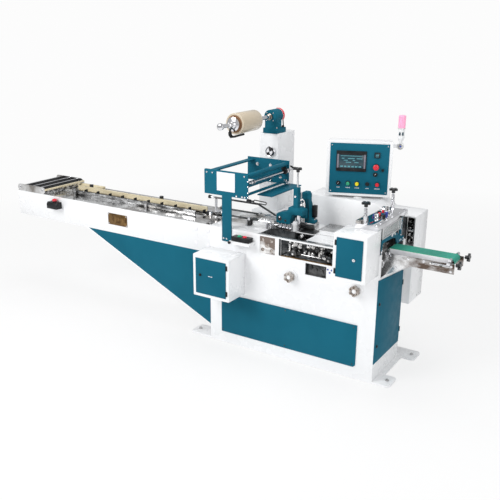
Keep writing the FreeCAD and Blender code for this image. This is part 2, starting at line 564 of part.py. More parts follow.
# ---- lug chain running in the slot, over two wheels and a track
chain_level = "chain_rise - chain_height - chain_wheel / 2"
chain_far = "infeed_length - chain_end_inset"
chain = body("lug_chain", infeed_x, "0", "deck_height")
chain_side = sketch(chain, "y", "-chain_width / 2")
loop(chain_side, "chain_end_inset", chain_far, chain_level, "chain_wheel / 2 + chain_height")
loop(chain_side, "chain_end_inset", chain_far, chain_level, "chain_wheel / 2")
pad(chain, chain_side, "chain_width")
lugs = body("chain_lugs", infeed_x, "0", "deck_height")
lug_gaps = "floor((infeed_length - lug_start - chain_end_inset) / lug_pitch)"
lug_side = sketch(lugs, "z", "chain_rise")
rectangle(lug_side, "lug_start", "-lug_width / 2", "lug_length", "lug_width")
lug = pad(lugs, lug_side, "lug_height")
row(lugs, lug, lug_side, "H_Axis", "lug_pitch * " + lug_gaps, lug_gaps + " + 1")
guide = body("chain_guide", infeed_x, "0", "deck_height")
track_top = "chain_rise - chain_height - seat_gap"
block(guide, "z", track_top + " - track_height", "chain_end_inset + 30", "-track_width / 2",
      "infeed_length - 2 * chain_end_inset - 60", "track_width", "track_height")
cross = sketch(guide, "y", "sheet_gauge - infeed_width / 2")
rectangle(cross, "chain_end_inset + 100", track_top + " - track_height - cross_bar", "cross_bar", "cross_bar")
cross_pad = pad(guide, cross, "infeed_width - 2 * sheet_gauge")
row(guide, cross_pad, cross, "H_Axis", "infeed_length - 2 * chain_end_inset - 216", "4")
for centre_x in ("chain_end_inset", chain_far):
    rod(guide, "y", "-chain_width / 2", centre_x, chain_level, "chain_wheel - 2 * seat_gap", "chain_width")
    rod(guide, "y", "sheet_gauge - infeed_width / 2", centre_x, chain_level, "20",
        "infeed_width - 2 * sheet_gauge")

# ---- product guide rails and their clamps
rails = body("guide_rails", "rail_tail - infeed_length - " + HALF, "0", "deck_height + deck_gauge")
rail_end = sketch(rails, "x")
rectangle(rail_end, "rail_half_gap", "0", "rail_width", "rail_height")
rectangle(rail_end, "-rail_half_gap - rail_width", "0", "rail_width", "rail_height")
pad(rails, rail_end, "infeed_length - rail_tail - rail_inset")
block(rails, "y", "-infeed_width / 2", "end_box_length - rail_tail", "0",
      "end_bar_width", "end_bar_height", "infeed_width")

# ---- open slatted box at the far end
end_box = body("end_box", infeed_x, "0", "deck_height + deck_gauge")
radius = "end_box_height / 2"
for low in ("-infeed_width / 2", "infeed_width / 2 - panel_gauge"):
    side = sketch(end_box, "y", low)
    loop(side, radius, "end_box_length - " + radius, radius, radius)
    pad(end_box, side, "panel_gauge")
    block(end_box, "y", low, radius, "0", "end_box_length - end_box_height", radius, "panel_gauge")
slats = body("end_box_slats", infeed_x, "0", "deck_height + deck_gauge")
slat = sketch(slats, "y", "panel_gauge - infeed_width / 2")
rectangle(slat, "end_box_height / 2", "slat_rise", "slat_width", "slat_height")
slat_pad = pad(slats, slat, "infeed_width - 2 * panel_gauge")
slat_gaps = "floor((end_box_length - end_box_height) / slat_pitch)"
row(slats, slat_pad, slat, "H_Axis", "slat_pitch * " + slat_gaps, slat_gaps + " + 1")

# ---- triangular bracket under the infeed: two side panels on a sloping skin
panels = body("bracket_panels", "-" + HALF, "0", "deck_height - infeed_drop")
for low in ("-infeed_width / 2", "infeed_width / 2 - sheet_gauge"):
    side = sketch(panels, "y", low)
    polygon(side, ("0", "0"), ("-bracket_reach", "0"), ("0", "-" + BRACKET_DROP))
    pad(panels, side, "sheet_gauge")
skin = body("bracket_skin", "-" + HALF, "0", "deck_height - infeed_drop")
side = sketch(skin, "y", "-infeed_width / 2")
polygon(side, ("-bracket_reach", "0"), ("0", "-" + BRACKET_DROP), ("0", "-%s - bracket_skin" % BRACKET_DROP),
        ("-bracket_reach - bracket_skin * bracket_reach / " + BRACKET_DROP, "0"))
pad(skin, side, "infeed_width")

# ---- emergency stop on the infeed's side
estop = body("estop_base", infeed_x + " + estop_start", "-infeed_width / 2", "deck_height - estop_drop")
side = sketch(estop, "x")
polygon(side, ("0", "0"), ("-estop_reach", "0"), ("-estop_reach", "estop_height * 0.7"),
        ("-estop_reach * 0.8", "estop_height"), ("0", "estop_height"))
pad(estop, side, "estop_length")
button = body("estop_button", infeed_x + " + estop_start + estop_length * 0.55",
              "-infeed_width / 2 - estop_reach * 0.45", "deck_height - estop_drop + estop_height")
rod(button, "z", "0", "0", "0", "estop_cap * 0.55", "10")
rod(button, "z", "10", "0", "0", "estop_cap", "13")

# ---- forming rods on their stand, and the former
rods = body("forming_rods", "-rod_end", "0", "deck_height")
rod_start = sketch(rods, "x", "-rod_length")
circle(rod_start, "rod_half_gap", "rod_rise", "rod_width")
circle(rod_start, "-rod_half_gap", "rod_rise", "rod_width")
pad(rods, rod_start, "rod_length")
stand = body("rod_stand", "0", "0", "deck_height")
rest = "rod_rise - rod_width / 2 - seat_gap"
for side in ("rod_half_gap", "-rod_half_gap"):
    rod(stand, "z", "0", "-stand_start", side, "stand_width", rest)
bar_x = "hold_rod_inset - rod_end - rod_length"
block(stand, "z", rest + " - bridge_bar", bar_x, "-rod_half_gap - 14", "bridge_bar",
      "2 * rod_half_gap + 28", "bridge_bar")
for side in ("rod_half_gap", "-rod_half_gap"):
    block(stand, "z", "deck_gauge", bar_x, side + " - 7", "bridge_bar", "14", rest + " - deck_gauge")
block(stand, "z", rest, bar_x, "-7", "bridge_bar", "14",
      "hold_rod_rise - rod_width / 2 - seat_gap - (%s)" % rest)
path = sketch(rods, "y", "0", "hold_rod_inset - rod_length")
corners = (("0", "hold_rod_rise"), ("hold_rod_length", "hold_rod_rise"),
           ("hold_rod_length + hold_rod_bend", "hold_rod_rise - hold_rod_drop"))
spots = [FreeCAD.Vector(amount(u), amount(v), 0) for u, v in corners]
first = path.addGeometry(Part.LineSegment(spots[0], spots[1]), False)
second = path.addGeometry(Part.LineSegment(spots[1], spots[2]), False)
path.addConstraint(Sketcher.Constraint("Coincident", first, 2, second, 1))
for line, point, (u, v), spot in ((first, 1, corners[0], spots[0]), (second, 1, corners[1], spots[1]),
                                  (second, 2, corners[2], spots[2])):
    pin_point(path, line, point, u, v, spot)
tube_end = circle(sketch(rods, "x", "hold_rod_inset - rod_length"), "0", "hold_rod_rise", "rod_width")
pipe = feature(rods, "AdditivePipe")
pipe.Profile = tube_end
pipe.Spine = (path, ["Edge1", "Edge2"])
pipe.Transition = "Round corner"

former = body("film_former", "-former_end - former_length", "0", "deck_height")
block(former, "z", "0", "0", "-former_half_width", "former_length", "2 * former_half_width", "deck_gauge")
for low in ("-former_half_width", "former_half_width - deck_gauge"):
    cheek = sketch(former, "y", low)
    polygon(cheek, ("0", "deck_gauge"), ("former_length", "deck_gauge"),
            ("former_length", "former_height"), ("former_length * 0.7", "former_height"),
            ("0", "former_mouth"))
    pad(former, cheek, "deck_gauge")

# ---- fin-seal casting: arm and body over the line, curved head column on a plinth behind it
casting = body("fin_casting", z="deck_height")
arm = sketch(casting, "y", "-casting_front")
arm_top = "arm_rise + arm_height"
body_top = "arm_rise + body_height"
body_end = "body_length - body_start"
polygon(arm, ("-arm_reach", "arm_rise"), ("-body_start * 0.9", "arm_rise"), ("-body_start * 0.75", arm_top),
        (body_end, arm_top), (body_end, body_top + " - 14"), (body_end + " - 36", body_top),
        ("-body_start", body_top), ("-body_start - 8", body_top + " - 34"), ("-arm_reach + 12", arm_top),
        ("-arm_reach", arm_top + " - 10"))
pad(casting, arm, "casting_front + casting_back")
link = sketch(casting, "y", "casting_back")
rectangle(link, "-body_start", arm_top + " - arm_height * 0.5", "body_length - 14", "body_height * 0.5")
pad(casting, link, "head_front - casting_back")
head = sketch(casting, "y", "head_front")
head_end = "head_start + head_length"
neck = "head_start + head_nose"
polygon(head, (neck, "plinth_height"), ("head_start + foot_length", "plinth_height"),
        ("head_start + foot_length", "plinth_height + foot_height"),
        (head_end + " + 20", "plinth_height + 2 * foot_height"),
        (head_end + " + 12", "head_rise * 0.6"), (head_end, "head_rise * 0.76"),
        (head_end, "head_rise * 0.93"), (head_end + " - 12", "head_rise"),
        ("head_start + 12", "head_rise"), ("head_start", "head_rise * 0.94"),
        ("head_start", "head_rise * 0.84"), (neck + " - 8", "head_rise * 0.77"),
        (neck, "head_rise * 0.68"))
pad(casting, head, "head_width")
post_x = "guide_post_inset - body_start"
block(casting, "z", body_top, post_x, "-guide_post_width / 2", "guide_post_length", "guide_post_width",
      "guide_post_height")
fittings = body("fin_motor", head_end + " + 20", "head_front + head_width - motor_width", "deck_height")
block(fittings, "z", "plinth_height + 2 * foot_height", "0", "0", "motor_length", "motor_width",
      "motor_height")

# ---- rotary end seal: two bearing plates, two toothed jaws, a bridge with screws
frame_side = body("jaw_frame", JAW_CENTRE, "0", "deck_height")
for low in ("-%s / 2" % CHAMBER_WIDTH, CHAMBER_WIDTH + " / 2 - jaw_plate"):
    side = sketch(frame_side, "y", low)
    rectangle(side, "-jaw_plate_length / 2", "-chamber_depth", "jaw_plate_length",
              "chamber_depth + " + BRIDGE_RISE)
    circle(side, "0", "line_rise + " + JAW_RISE, "jaw_shaft + running_fit")
    circle(side, "0", "line_rise - " + JAW_RISE, "jaw_shaft + running_fit")
    pad(frame_side, side, "jaw_plate")


def jaw(label, level):
    """A shaft with a core and two opposite sealing bars, whose curved faces carry long grooves."""
    item = body(label, JAW_CENTRE, "0", "deck_height + line_rise %s" % level)
    side = sketch(item, "y", "-jaw_length / 2")
    pad(item, circle(side, "0", "0", "2 * jaw_radius"), "jaw_length")
    for start in ("jaw_bar / 2", "-jaw_bar / 2 - jaw_radius"):
        flank = rectangle(sketch(item, "y", "-jaw_length / 2"), start, "-jaw_radius", "jaw_radius",
                          "2 * jaw_radius")
        pocket(item, flank, "jaw_length")
    rod(item, "y", "-jaw_length / 2", "0", "0", "jaw_core", "jaw_length")
    for side_sign in ("", "-"):
        tooth_gap = sketch(item, "y", "-jaw_length / 2")
        pitch = "jaw_bar / (jaw_groove_count + 1)"
        level_text = "%s(jaw_radius)" % side_sign
        low = "%s - jaw_groove" % level_text
        left = "-jaw_bar / 2 + %s - jaw_groove / 2" % pitch
        rectangle(tooth_gap, left, low, "jaw_groove", "2 * jaw_groove")
        cut = pocket(item, tooth_gap, "jaw_length")
        row(item, cut, tooth_gap, "H_Axis", "%s * (jaw_groove_count - 1)" % pitch, "jaw_groove_count")
    rod(item, "y", "seat_gap - %s / 2" % CHAMBER_WIDTH, "0", "0", "jaw_shaft",
        CHAMBER_WIDTH + " - 2 * seat_gap")
    return item


jaw("upper_jaw", "+ " + JAW_RISE)
jaw("lower_jaw", "- " + JAW_RISE)
bridge_low = "deck_height + " + BRIDGE_RISE
bridge = body("seal_bridge", HALF + " - seal_bridge_inset", "0", bridge_low)
bridge_length = "seal_bridge_inset - seal_bridge_end"
bridge_plan = sketch(bridge, "z")
rectangle(bridge_plan, "0", "-cabinet_depth / 2 - seal_bridge_front", bridge_length,
          "cabinet_depth + seal_bridge_front + seal_bridge_back")
rectangle(bridge_plan, "36", "-bridge_cut_width * 1.6", "bridge_cut_width", "bridge_cut_width * 3")
pad(bridge, bridge_plan, "seal_bridge_height")
screws = body("adjusting_screws", z="deck_height")
rod(screws, "z", "0", "-cylinder_start", "cylinder_width / 2", "cylinder_width", arm_top)
bridge_top = BRIDGE_RISE + " + seal_bridge_height"
screw_x = HALF + " - screw_inset"
for y in ("-cabinet_depth / 2 - screw_front", "cabinet_depth / 2 - screw_back"):
    rod(screws, "z", bridge_top, screw_x, y, "sleeve_width", "sleeve_height")
    rod(screws, "z", bridge_top, screw_x, y, "screw_width", "screw_height")
rod(screws, "z", body_top + " + guide_post_height", post_x + " + guide_post_length * 0.6", "0",
    "screw_width", "screw_height")
for y in ("side_plate_half_gap + side_plate_gauge / 2", "-side_plate_half_gap - side_plate_gauge / 2"):
    rod(screws, "x", SIDE_PLATE_END, y, "line_rise - belt_roller / 2 - belt_gauge", "tension_screw",
        "tension_length")
knobs = body("hand_knobs", z="deck_height")
for y in ("-cabinet_depth / 2 - screw_front", "cabinet_depth / 2 - screw_back"):
    star_knob(knobs, "z", bridge_top + " + screw_height", screw_x, y)
star_knob(knobs, "z", body_top + " + guide_post_height + screw_height",
          post_x + " + guide_post_length * 0.6", "0")
for y in ("side_plate_half_gap + side_plate_gauge / 2", "-side_plate_half_gap - side_plate_gauge / 2"):
    star_knob(knobs, "x", SIDE_PLATE_END + " + tension_length", y,
              "line_rise - belt_roller / 2 - belt_gauge")
rail_x = "rail_tail - infeed_length - " + HALF
for side in ("", "-"):
    clamp_y = "%s(rail_half_gap + rail_width + clamp_head / 2 + seat_gap)" % side
    for start in (rail_x + " + clamp_start", "-%s - rail_inset - clamp_end" % HALF):
        rod(knobs, "z", "deck_gauge", start, clamp_y, "clamp_width", "clamp_height")
        rod(knobs, "z", "deck_gauge + clamp_height * 0.6", start, clamp_y, "clamp_head", "clamp_height * 0.4")
rod(knobs, "y", column_y + " - dial_depth", COLUMN_START + " + column_width * 0.62",
    "rear_low_rise + column_height - dial_drop", "dial_width", "dial_depth")
exit_frame = body("exit_frame", HALF + " - exit_frame_inset", "0", "deck_height")
face = sketch(exit_frame, "x")
rim = "(%s / 2 + exit_rim)" % CHAMBER_WIDTH
post_end = "exit_post_start + exit_post_width"
polygon(face, ("-" + rim, "0"), ("exit_leg - " + rim, "0"), ("exit_leg + 16 - " + rim, "exit_arch_height"),
        ("0", "exit_arch_height - 6"), ("exit_post_start * 0.45", "exit_arch_height * 0.7"),
        ("exit_post_start * 0.75", "0"), (rim, "0"), (rim, "30"), (post_end, "30"), (post_end, BRIDGE_RISE),
        ("exit_post_start", BRIDGE_RISE), ("exit_post_start", "exit_cross_height * 0.5"),
        ("exit_post_start * 0.6", "exit_cross_height * 0.85"), ("0", "exit_cross_height"),
        ("-" + rim, "exit_cross_height"))
pad(exit_frame, face, "exit_frame_gauge")
guard = body("exit_guard", HALF + " - seal_bridge_end - guard_gauge", "0", bridge_low)
block(guard, "x", "0", "-guard_front", "-guard_height", "guard_front + exit_post_start", "guard_height",
      "guard_gauge")

# ---- discharge conveyor
sides = body("discharge_sides", z="deck_height")
leg = HALF
for low in ("-side_plate_half_gap - side_plate_gauge", "side_plate_half_gap"):
    side = sketch(sides, "y", low)
    polygon(side, (SIDE_PLATE_START, "-chamber_depth"), (leg, "-chamber_depth"),
            (leg + " + side_leg_reach", "-side_plate_drop"), (SIDE_PLATE_END, "-side_plate_drop"),
            (SIDE_PLATE_END, "side_plate_height - side_plate_drop"),
            (SIDE_PLATE_START, "side_plate_height - side_plate_drop"))
    pad(sides, side, "side_plate_gauge")
    adjust = rectangle(sketch(sides, "y", low), leg + " + adjust_slot_reach", "-side_plate_drop * 0.5",
                       "adjust_slot_length", "adjust_slot_height")
    pocket(sides, adjust, "side_plate_gauge")
belt_x = HALF + " + belt_lead"
belt = body("discharge_belt", belt_x, "0", "deck_height")
belt_axis = "line_rise - belt_roller / 2 - belt_gauge"
side = sketch(belt, "y", "-belt_width / 2")
loop(side, "0", "belt_pitch", belt_axis, "belt_roller / 2 + belt_gauge")
loop(side, "0", "belt_pitch", belt_axis, "belt_roller / 2")
pad(belt, side, "belt_width")
rollers = body("discharge_rollers", belt_x, "0", "deck_height")
for centre_x in ("0", "belt_pitch"):
    rod(rollers, "y", "-belt_width / 2 - 4", centre_x, belt_axis, "belt_roller - 2 * seat_gap",
        "belt_width + 8")
    rod(rollers, "y", "-side_plate_half_gap", centre_x, belt_axis, "roller_shaft", "2 * side_plate_half_gap")

# ---- start and stop box on its bracket
start_x = "start_box_inset - cabinet_length / 2"
start_z = "deck_height - start_box_drop"
start_bracket = body("start_bracket", start_x, front_y, start_z + " - start_bracket_height")
block(start_bracket, "z", "0", "-start_bracket_extra", "-start_box_reach - start_bracket_extra",
      "start_box_length + 2 * start_bracket_extra", "start_box_reach + start_bracket_extra",
      "start_bracket_height")
start_box = body("start_box", start_x, front_y, start_z)
block(start_box, "z", "0", "0", "-start_box_reach", "start_box_length", "start_box_reach", "start_box_height")

# ---- operator panel, turned towards the discharge end
hmi_y = FRONT + " + rear_gap + hmi_setback"
hmi_z = REAR_TOP + " + hmi_rise + hmi_box_height / 2"


def turned(label):
    item = body(label, "hmi_start", hmi_y, hmi_z)
    item.Placement = FreeCAD.Placement(item.Placement.Base, FreeCAD.Rotation(FreeCAD.Vector(0, 0, 1), 20))
    item.setExpression(".Placement.Rotation.Angle", formula("hmi_turn_deg"))
    return item


hmi_box = turned("hmi_box")
block(hmi_box, "y", "0", "-hmi_box_width / 2", "-hmi_box_height / 2", "hmi_box_width", "hmi_box_height",
      "hmi_box_depth")
rod(hmi_box, "z", "-hmi_box_height / 2 - hmi_rise", "0", "hmi_box_depth / 2", "support_width", "hmi_rise")
hmi_face = turned("hmi_face")
block(hmi_face, "y", "-hmi_face_gauge", "-hmi_face_width / 2", "-hmi_face_height / 2", "hmi_face_width",
      "hmi_face_height", "hmi_face_gauge")
controls = turned("hmi_controls")
block(controls, "y", "-hmi_face_gauge - screen_depth", "-hmi_face_width * 0.39", "-hmi_face_height * 0.05",
      "screen_width", "screen_height", "screen_depth")
block(controls, "y", "-hmi_face_gauge - screen_depth", "hmi_face_width * 0.255", "hmi_face_height * 0.235",
      "button_width * 1.4", "button_width * 1.4", "screen_depth")
knob_plan = sketch(controls, "y", "-hmi_face_gauge - button_depth")
for across, up, scale in ((0.29, 0.055, 1.5), (0.283, -0.097, 1.1), (0.405, -0.007, 0.7),
                          (-0.34, -0.297, 1), (-0.174, -0.297, 1), (-0.019, -0.297, 1),
                          (0.157, -0.297, 1), (0.324, -0.297, 1)):
    circle(knob_plan, "hmi_face_width * %g" % across, "hmi_face_height * %g" % up,
           "button_width * %g" % scale)
pad(controls, knob_plan, "button_depth")
lamp = turned("lamp_body")
lamp_x = "(hmi_box_width / 2 + lamp_reach)"
arm_z = "hmi_box_height / 2 - lamp_disc_drop"
block(lamp, "x", "hmi_box_width / 2", "hmi_box_depth / 2 - 6", arm_z + " - 12", "12", "24", "lamp_reach")
rod(lamp, "y", "hmi_box_depth / 2 - 12", lamp_x, arm_z, "lamp_width", "24")
rod(lamp, "z", arm_z, lamp_x, "hmi_box_depth / 2", "lamp_neck", "lamp_width + 10")
rod(lamp, "z", arm_z + " + lamp_width + 6", lamp_x, "hmi_box_depth / 2", "lamp_width * 0.92",
    "lamp_body_height")
lens = turned("lamp_lens")
rod(lens, "z", arm_z + " + lamp_width + 6 + lamp_body_height", lamp_x, "hmi_box_depth / 2", "lamp_width",
    "lamp_lens_height")

doc.recompute()
os.makedirs("parts", exist_ok=True)
for item in doc.Objects:
    bad = [word for word in ("Invalid", "Error") if word in item.State]
    if bad:
        raise RuntimeError("%s is %s" % (item.Label, bad[0]))
for item in doc.findObjects("PartDesign::Body"):
    if item.Shape.isNull() or not item.Shape.isValid():
        raise RuntimeError("%s has no sound shape" % item.Label)
    item.Shape.exportStep("parts/%s.step" % item.Label)
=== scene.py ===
import math
import random

import bmesh
import bpy
from mathutils import Matrix, Vector


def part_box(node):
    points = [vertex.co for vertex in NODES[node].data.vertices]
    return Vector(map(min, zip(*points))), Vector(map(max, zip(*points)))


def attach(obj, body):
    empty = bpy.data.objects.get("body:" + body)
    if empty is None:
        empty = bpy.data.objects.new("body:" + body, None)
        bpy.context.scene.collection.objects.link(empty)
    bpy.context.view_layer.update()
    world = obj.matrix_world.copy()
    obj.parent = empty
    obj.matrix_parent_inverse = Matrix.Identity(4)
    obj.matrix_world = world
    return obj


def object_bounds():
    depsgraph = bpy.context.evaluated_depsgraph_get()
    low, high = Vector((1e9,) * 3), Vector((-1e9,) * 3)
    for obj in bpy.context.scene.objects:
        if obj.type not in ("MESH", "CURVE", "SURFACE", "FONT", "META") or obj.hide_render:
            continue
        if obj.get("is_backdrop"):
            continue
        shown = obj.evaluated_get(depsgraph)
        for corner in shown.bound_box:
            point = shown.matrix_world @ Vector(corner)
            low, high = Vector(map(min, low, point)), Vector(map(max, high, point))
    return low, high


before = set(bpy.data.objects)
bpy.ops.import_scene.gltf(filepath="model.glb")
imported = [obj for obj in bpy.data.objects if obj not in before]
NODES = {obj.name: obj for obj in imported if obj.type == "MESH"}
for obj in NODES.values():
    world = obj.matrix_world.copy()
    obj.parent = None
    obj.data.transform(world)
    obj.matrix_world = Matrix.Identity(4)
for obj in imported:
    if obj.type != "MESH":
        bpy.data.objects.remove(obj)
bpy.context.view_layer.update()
SKIN = 0.004      # a housing's outer faces, which keep their enamel
CHAMFER = 0.002   # the step at a pin's end


# ---------------- materials
def new_tree(name):
    m = bpy.data.materials.new(name)
    m.use_nodes = True
    return m, m.node_tree, m.node_tree.nodes["Principled BSDF"]


def grey(tone):
    return (tone, tone, tone)


def put(tree, value, socket):
    """Feeds the socket from another node's output, or sets it to a fixed value."""
    if isinstance(value, bpy.types.NodeSocket):
        tree.links.new(value, socket)
    else:
        socket.default_value = value


def feed(tree, node, **values):
    """Feeds the node's inputs by name; an underscore stands for a space."""
    for name, value in values.items():
        put(tree, value, node.inputs[name.replace("_", " ")])


def add(tree, kind, **values):
    """A new shader node with some of its inputs fed."""
    node = tree.nodes.new("ShaderNode" + kind)
    feed(tree, node, **values)
    return node


def operate(tree, kind, operation, *values):
    """A Math or VectorMath node that works on the values."""
    node = add(tree, kind)
    node.operation = operation
    for socket, value in zip(node.inputs, values):
        put(tree, value, socket)
    return node


def maths(tree, operation, *values):
    return operate(tree, "Math", operation, *values).outputs["Value"]


def reach(tree, vector):
    """The vector's length."""
    return operate(tree, "VectorMath", "LENGTH", vector).outputs["Value"]


def object_point(tree):
    """The point in the row frame."""
    return add(tree, "TexCoord").outputs["Object"]


def position(tree):
    """The point's X, Y and Z, each an output of its own."""
    return add(tree, "SeparateXYZ", Vector=object_point(tree)).outputs


def mix_colour(tree, factor, low, high):
    """low where the factor is 0 and high where it is 1; each is a colour or another node's output."""
    node = add(tree, "Mix")
    node.data_type = "RGBA"
    low, high = ((*tone, 1) if isinstance(tone, tuple) else tone for tone in (low, high))
    feed(tree, node, Factor=factor, A=low, B=high)
    return node.outputs["Result"]


def noise(tree, scale, detail=4.0, rough=0.5, stretch=(1, 1, 1), distort=0.0):
    place = add(tree, "Mapping", Vector=object_point(tree), Scale=stretch).outputs["Vector"]
    return add(tree, "TexNoise", Vector=place, Scale=scale, Detail=detail, Roughness=rough,
        Distortion=distort).outputs["Fac"]


def ramp(tree, value, low, high, out_low=0.0, out_high=1.0):
    """Carries values from low to high over to out_low to out_high, and holds them beyond."""
    return add(tree, "MapRange", Value=value, From_Min=low, From_Max=high, To_Min=out_low,
        To_Max=out_high).outputs["Result"]


def joined(tree, operation, first, second):
    """The two values joined by the operation, or the second alone when there is no first."""
    return second if first is None else maths(tree, operation, first, second)


def bump(tree, shader, height, strength, distance):
    relief = add(tree, "Bump", Strength=strength, Distance=distance, Height=height)
    feed(tree, shader, Normal=relief.outputs["Normal"])


def blend(tree, factor, first, second, output):
    """Sends the first shader, and by the factor the second, to the named output."""
    mix = add(tree, "MixShader", Fac=factor)
    put(tree, first, mix.inputs[1])
    put(tree, second, mix.inputs[2])
    feed(tree, tree.nodes[output], Surface=mix.outputs["Shader"])


def surface(name, low, high, rough, metal=0.0, mottle=3.0, peel=(220.0, 0.08), coat=0.0, stretch=(1, 1, 1),
        contrast=(0.35, 0.65), distort=0.0, specular=0.5):
    """A finish whose colour drifts between two tones, with its own gloss variation and fine relief."""
    m, tree, shader = new_tree(name)
    drift = ramp(tree, noise(tree, mottle, 4.0, 0.55, stretch, distort), *contrast)
    gloss = ramp(tree, noise(tree, mottle * 7, 3.0, 0.6, stretch), 0.3, 0.7, *rough)
    feed(tree, shader, Base_Color=mix_colour(tree, drift, low, high), Roughness=gloss, Metallic=metal,
        Specular_IOR_Level=specular, Coat_Weight=coat, Coat_Roughness=0.12)
    bump(tree, shader, noise(tree, peel[0], 3.0, 0.6, stretch), peel[1], 0.0006)
    return m


WHITE = surface("white_enamel", (0.845, 0.85, 0.86), (0.87, 0.875, 0.885), (0.24, 0.32), mottle=0.8,
    peel=(260, 0.06), coat=0.2)
TEAL = surface("teal_enamel", (0.0085, 0.108, 0.165), (0.011, 0.126, 0.19), (0.34, 0.48), mottle=2.2,
    peel=(340, 0.16), specular=0.04)
TEAL_CAST = surface("teal_cast", (0.006, 0.09, 0.135), (0.012, 0.13, 0.19), (0.32, 0.55), mottle=14,
    peel=(90, 0.35), specular=0.04)
STEEL = surface("brushed_stainless", grey(0.42), grey(0.7), (0.2, 0.36), metal=1.0, mottle=5,
    peel=(160, 0.12), stretch=(1, 14, 14))
MIRROR_STEEL = surface("polished_stainless", (0.3, 0.28, 0.26), grey(0.82), (0.08, 0.2), metal=1.0,
    mottle=4.5, peel=(60, 0.08), contrast=(0.38, 0.56), distort=0.6)
# polished steel: its tone is darkened and streaked dark to bright as painted reflections of the surroundings
STEEL_PAINTED_REFLECTIONS = surface("side_steel_painted_reflections", (0.2, 0.16, 0.14), (0.8, 0.79, 0.78), (0.1, 0.22), metal=1.0,
    mottle=5.5, peel=(60, 0.08), contrast=(0.42, 0.55), stretch=(1, 1, 2.6), distort=0.4)
CHROME = surface("chrome_plate", (0.62, 0.62, 0.64), (0.84, 0.84, 0.86), (0.05, 0.14), metal=1.0, mottle=9,
    peel=(80, 0.03))
BRONZE_CHROME = surface("tinted_chrome", (0.2, 0.15, 0.12), (0.62, 0.58, 0.54), (0.14, 0.28), metal=1.0,
    mottle=26, peel=(120, 0.06))
DARK_STEEL = surface("oiled_steel", (0.035, 0.038, 0.04), grey(0.13), (0.25, 0.45), metal=1.0, mottle=12,
    peel=(150, 0.15))
BLACK = surface("black_plastic", (0.006, 0.007, 0.008), (0.02, 0.021, 0.023), (0.32, 0.5), mottle=20,
    peel=(420, 0.25), specular=0.22)
CREAM = surface("cream_polymer", (0.66, 0.56, 0.36), (0.76, 0.68, 0.48), (0.35, 0.5), mottle=6,
    peel=(260, 0.15), stretch=(0.3, 1, 1))
BLUE = surface("blue_caps", (0.02, 0.05, 0.3), (0.03, 0.07, 0.38), (0.3, 0.4), mottle=20)
BELT = surface("green_belt", (0.006, 0.225, 0.155), (0.016, 0.315, 0.225), (0.42, 0.6), mottle=7,
    peel=(700, 0.5), stretch=(1, 0.4, 1))
RED = surface("red_moulding", (0.62, 0.012, 0.028), (0.8, 0.025, 0.05), (0.22, 0.32), mottle=18,
    peel=(300, 0.08), coat=0.3)
GREEN = surface("green_moulding", (0.01, 0.3, 0.15), (0.02, 0.42, 0.22), (0.22, 0.34), mottle=18,
    peel=(300, 0.08), coat=0.3)
YELLOW = surface("yellow_moulding", (0.8, 0.66, 0.0), (0.92, 0.8, 0.01), (0.22, 0.34), mottle=18,
    peel=(300, 0.08), coat=0.3)
BRASS = surface("bare_brass_plate", (0.085, 0.045, 0.018), (0.26, 0.155, 0.06), (0.28, 0.42), metal=0.9,
    mottle=30, peel=(260, 0.15))
# painted shade: a near-black finish for sheets and marks that stand in for shadow in slots, gaps and hollows
SHADOW = surface("painted_shade_lining", (0.012, 0.014, 0.016), (0.06, 0.065, 0.07), (0.35, 0.6), metal=0.6,
    mottle=9, peel=(120, 0.2))
SHEET = surface("bare_sheet", (0.8, 0.8, 0.83), (0.86, 0.86, 0.88), (0.4, 0.55), mottle=12,
    peel=(300, 0.06))
LIME = surface("galvanised_edge", grey(0.6), grey(0.8), (0.25, 0.4), metal=0.8, mottle=8, peel=(120, 0.1))


def painted_shade_inside(name, low, high):
    """White enamel outside, and painted shade on the faces inside the box from low to high: dark mottled
    tones that stand in for the shadow in the pockets.
    """
    m = WHITE.copy()
    m.name = name
    tree = m.node_tree
    shader = tree.nodes["Principled BSDF"]
    place = position(tree)
    inside = None
    for n, axis in enumerate("XYZ"):
        middle, half = (low[n] + high[n]) / 2, (high[n] - low[n]) / 2
        near = maths(tree, "COMPARE", place[axis], middle, half - SKIN)
        inside = joined(tree, "MULTIPLY", inside, near)
    paint = shader.inputs["Base Color"].links[0].from_socket
    # painted shade on the inner faces, mottled from near black to dark grey
    shade_mottle = ramp(tree, noise(tree, 11, 5, 0.6), 0.36, 0.64)
    dark = mix_colour(tree, shade_mottle, (0.018, 0.022, 0.026), (0.16, 0.165, 0.17))
    feed(tree, shader, Base_Color=mix_colour(tree, inside, paint, dark))
    return m


def two_tone(name, base, other, groups, mottle=8, stretch=(1, 1, 1)):
    """base tones as enamel or polymer; other tones, as bare metal, where all tests of any group hold."""
    m, tree, shader = new_tree(name)
    place = position(tree)
    inside = None
    for tests in groups:
        group = None
        for axis, way, limit in tests:
            group = joined(tree, "MULTIPLY", group, maths(tree, way, place[axis], limit))
        inside = joined(tree, "MAXIMUM", inside, group)
    drift = ramp(tree, noise(tree, mottle, 5, 0.6, stretch), 0.42, 0.58)
    tones = [mix_colour(tree, drift, *pair) for pair in (base, other)]
    gloss = ramp(tree, noise(tree, mottle * 5, 3, 0.6), 0.3, 0.7, 0.16, 0.42)
    feed(tree, shader, Base_Color=mix_colour(tree, inside, *tones), Metallic=inside, Roughness=gloss)
    bump(tree, shader, noise(tree, 180, 3, 0.6), 0.12, 0.0005)
    return m


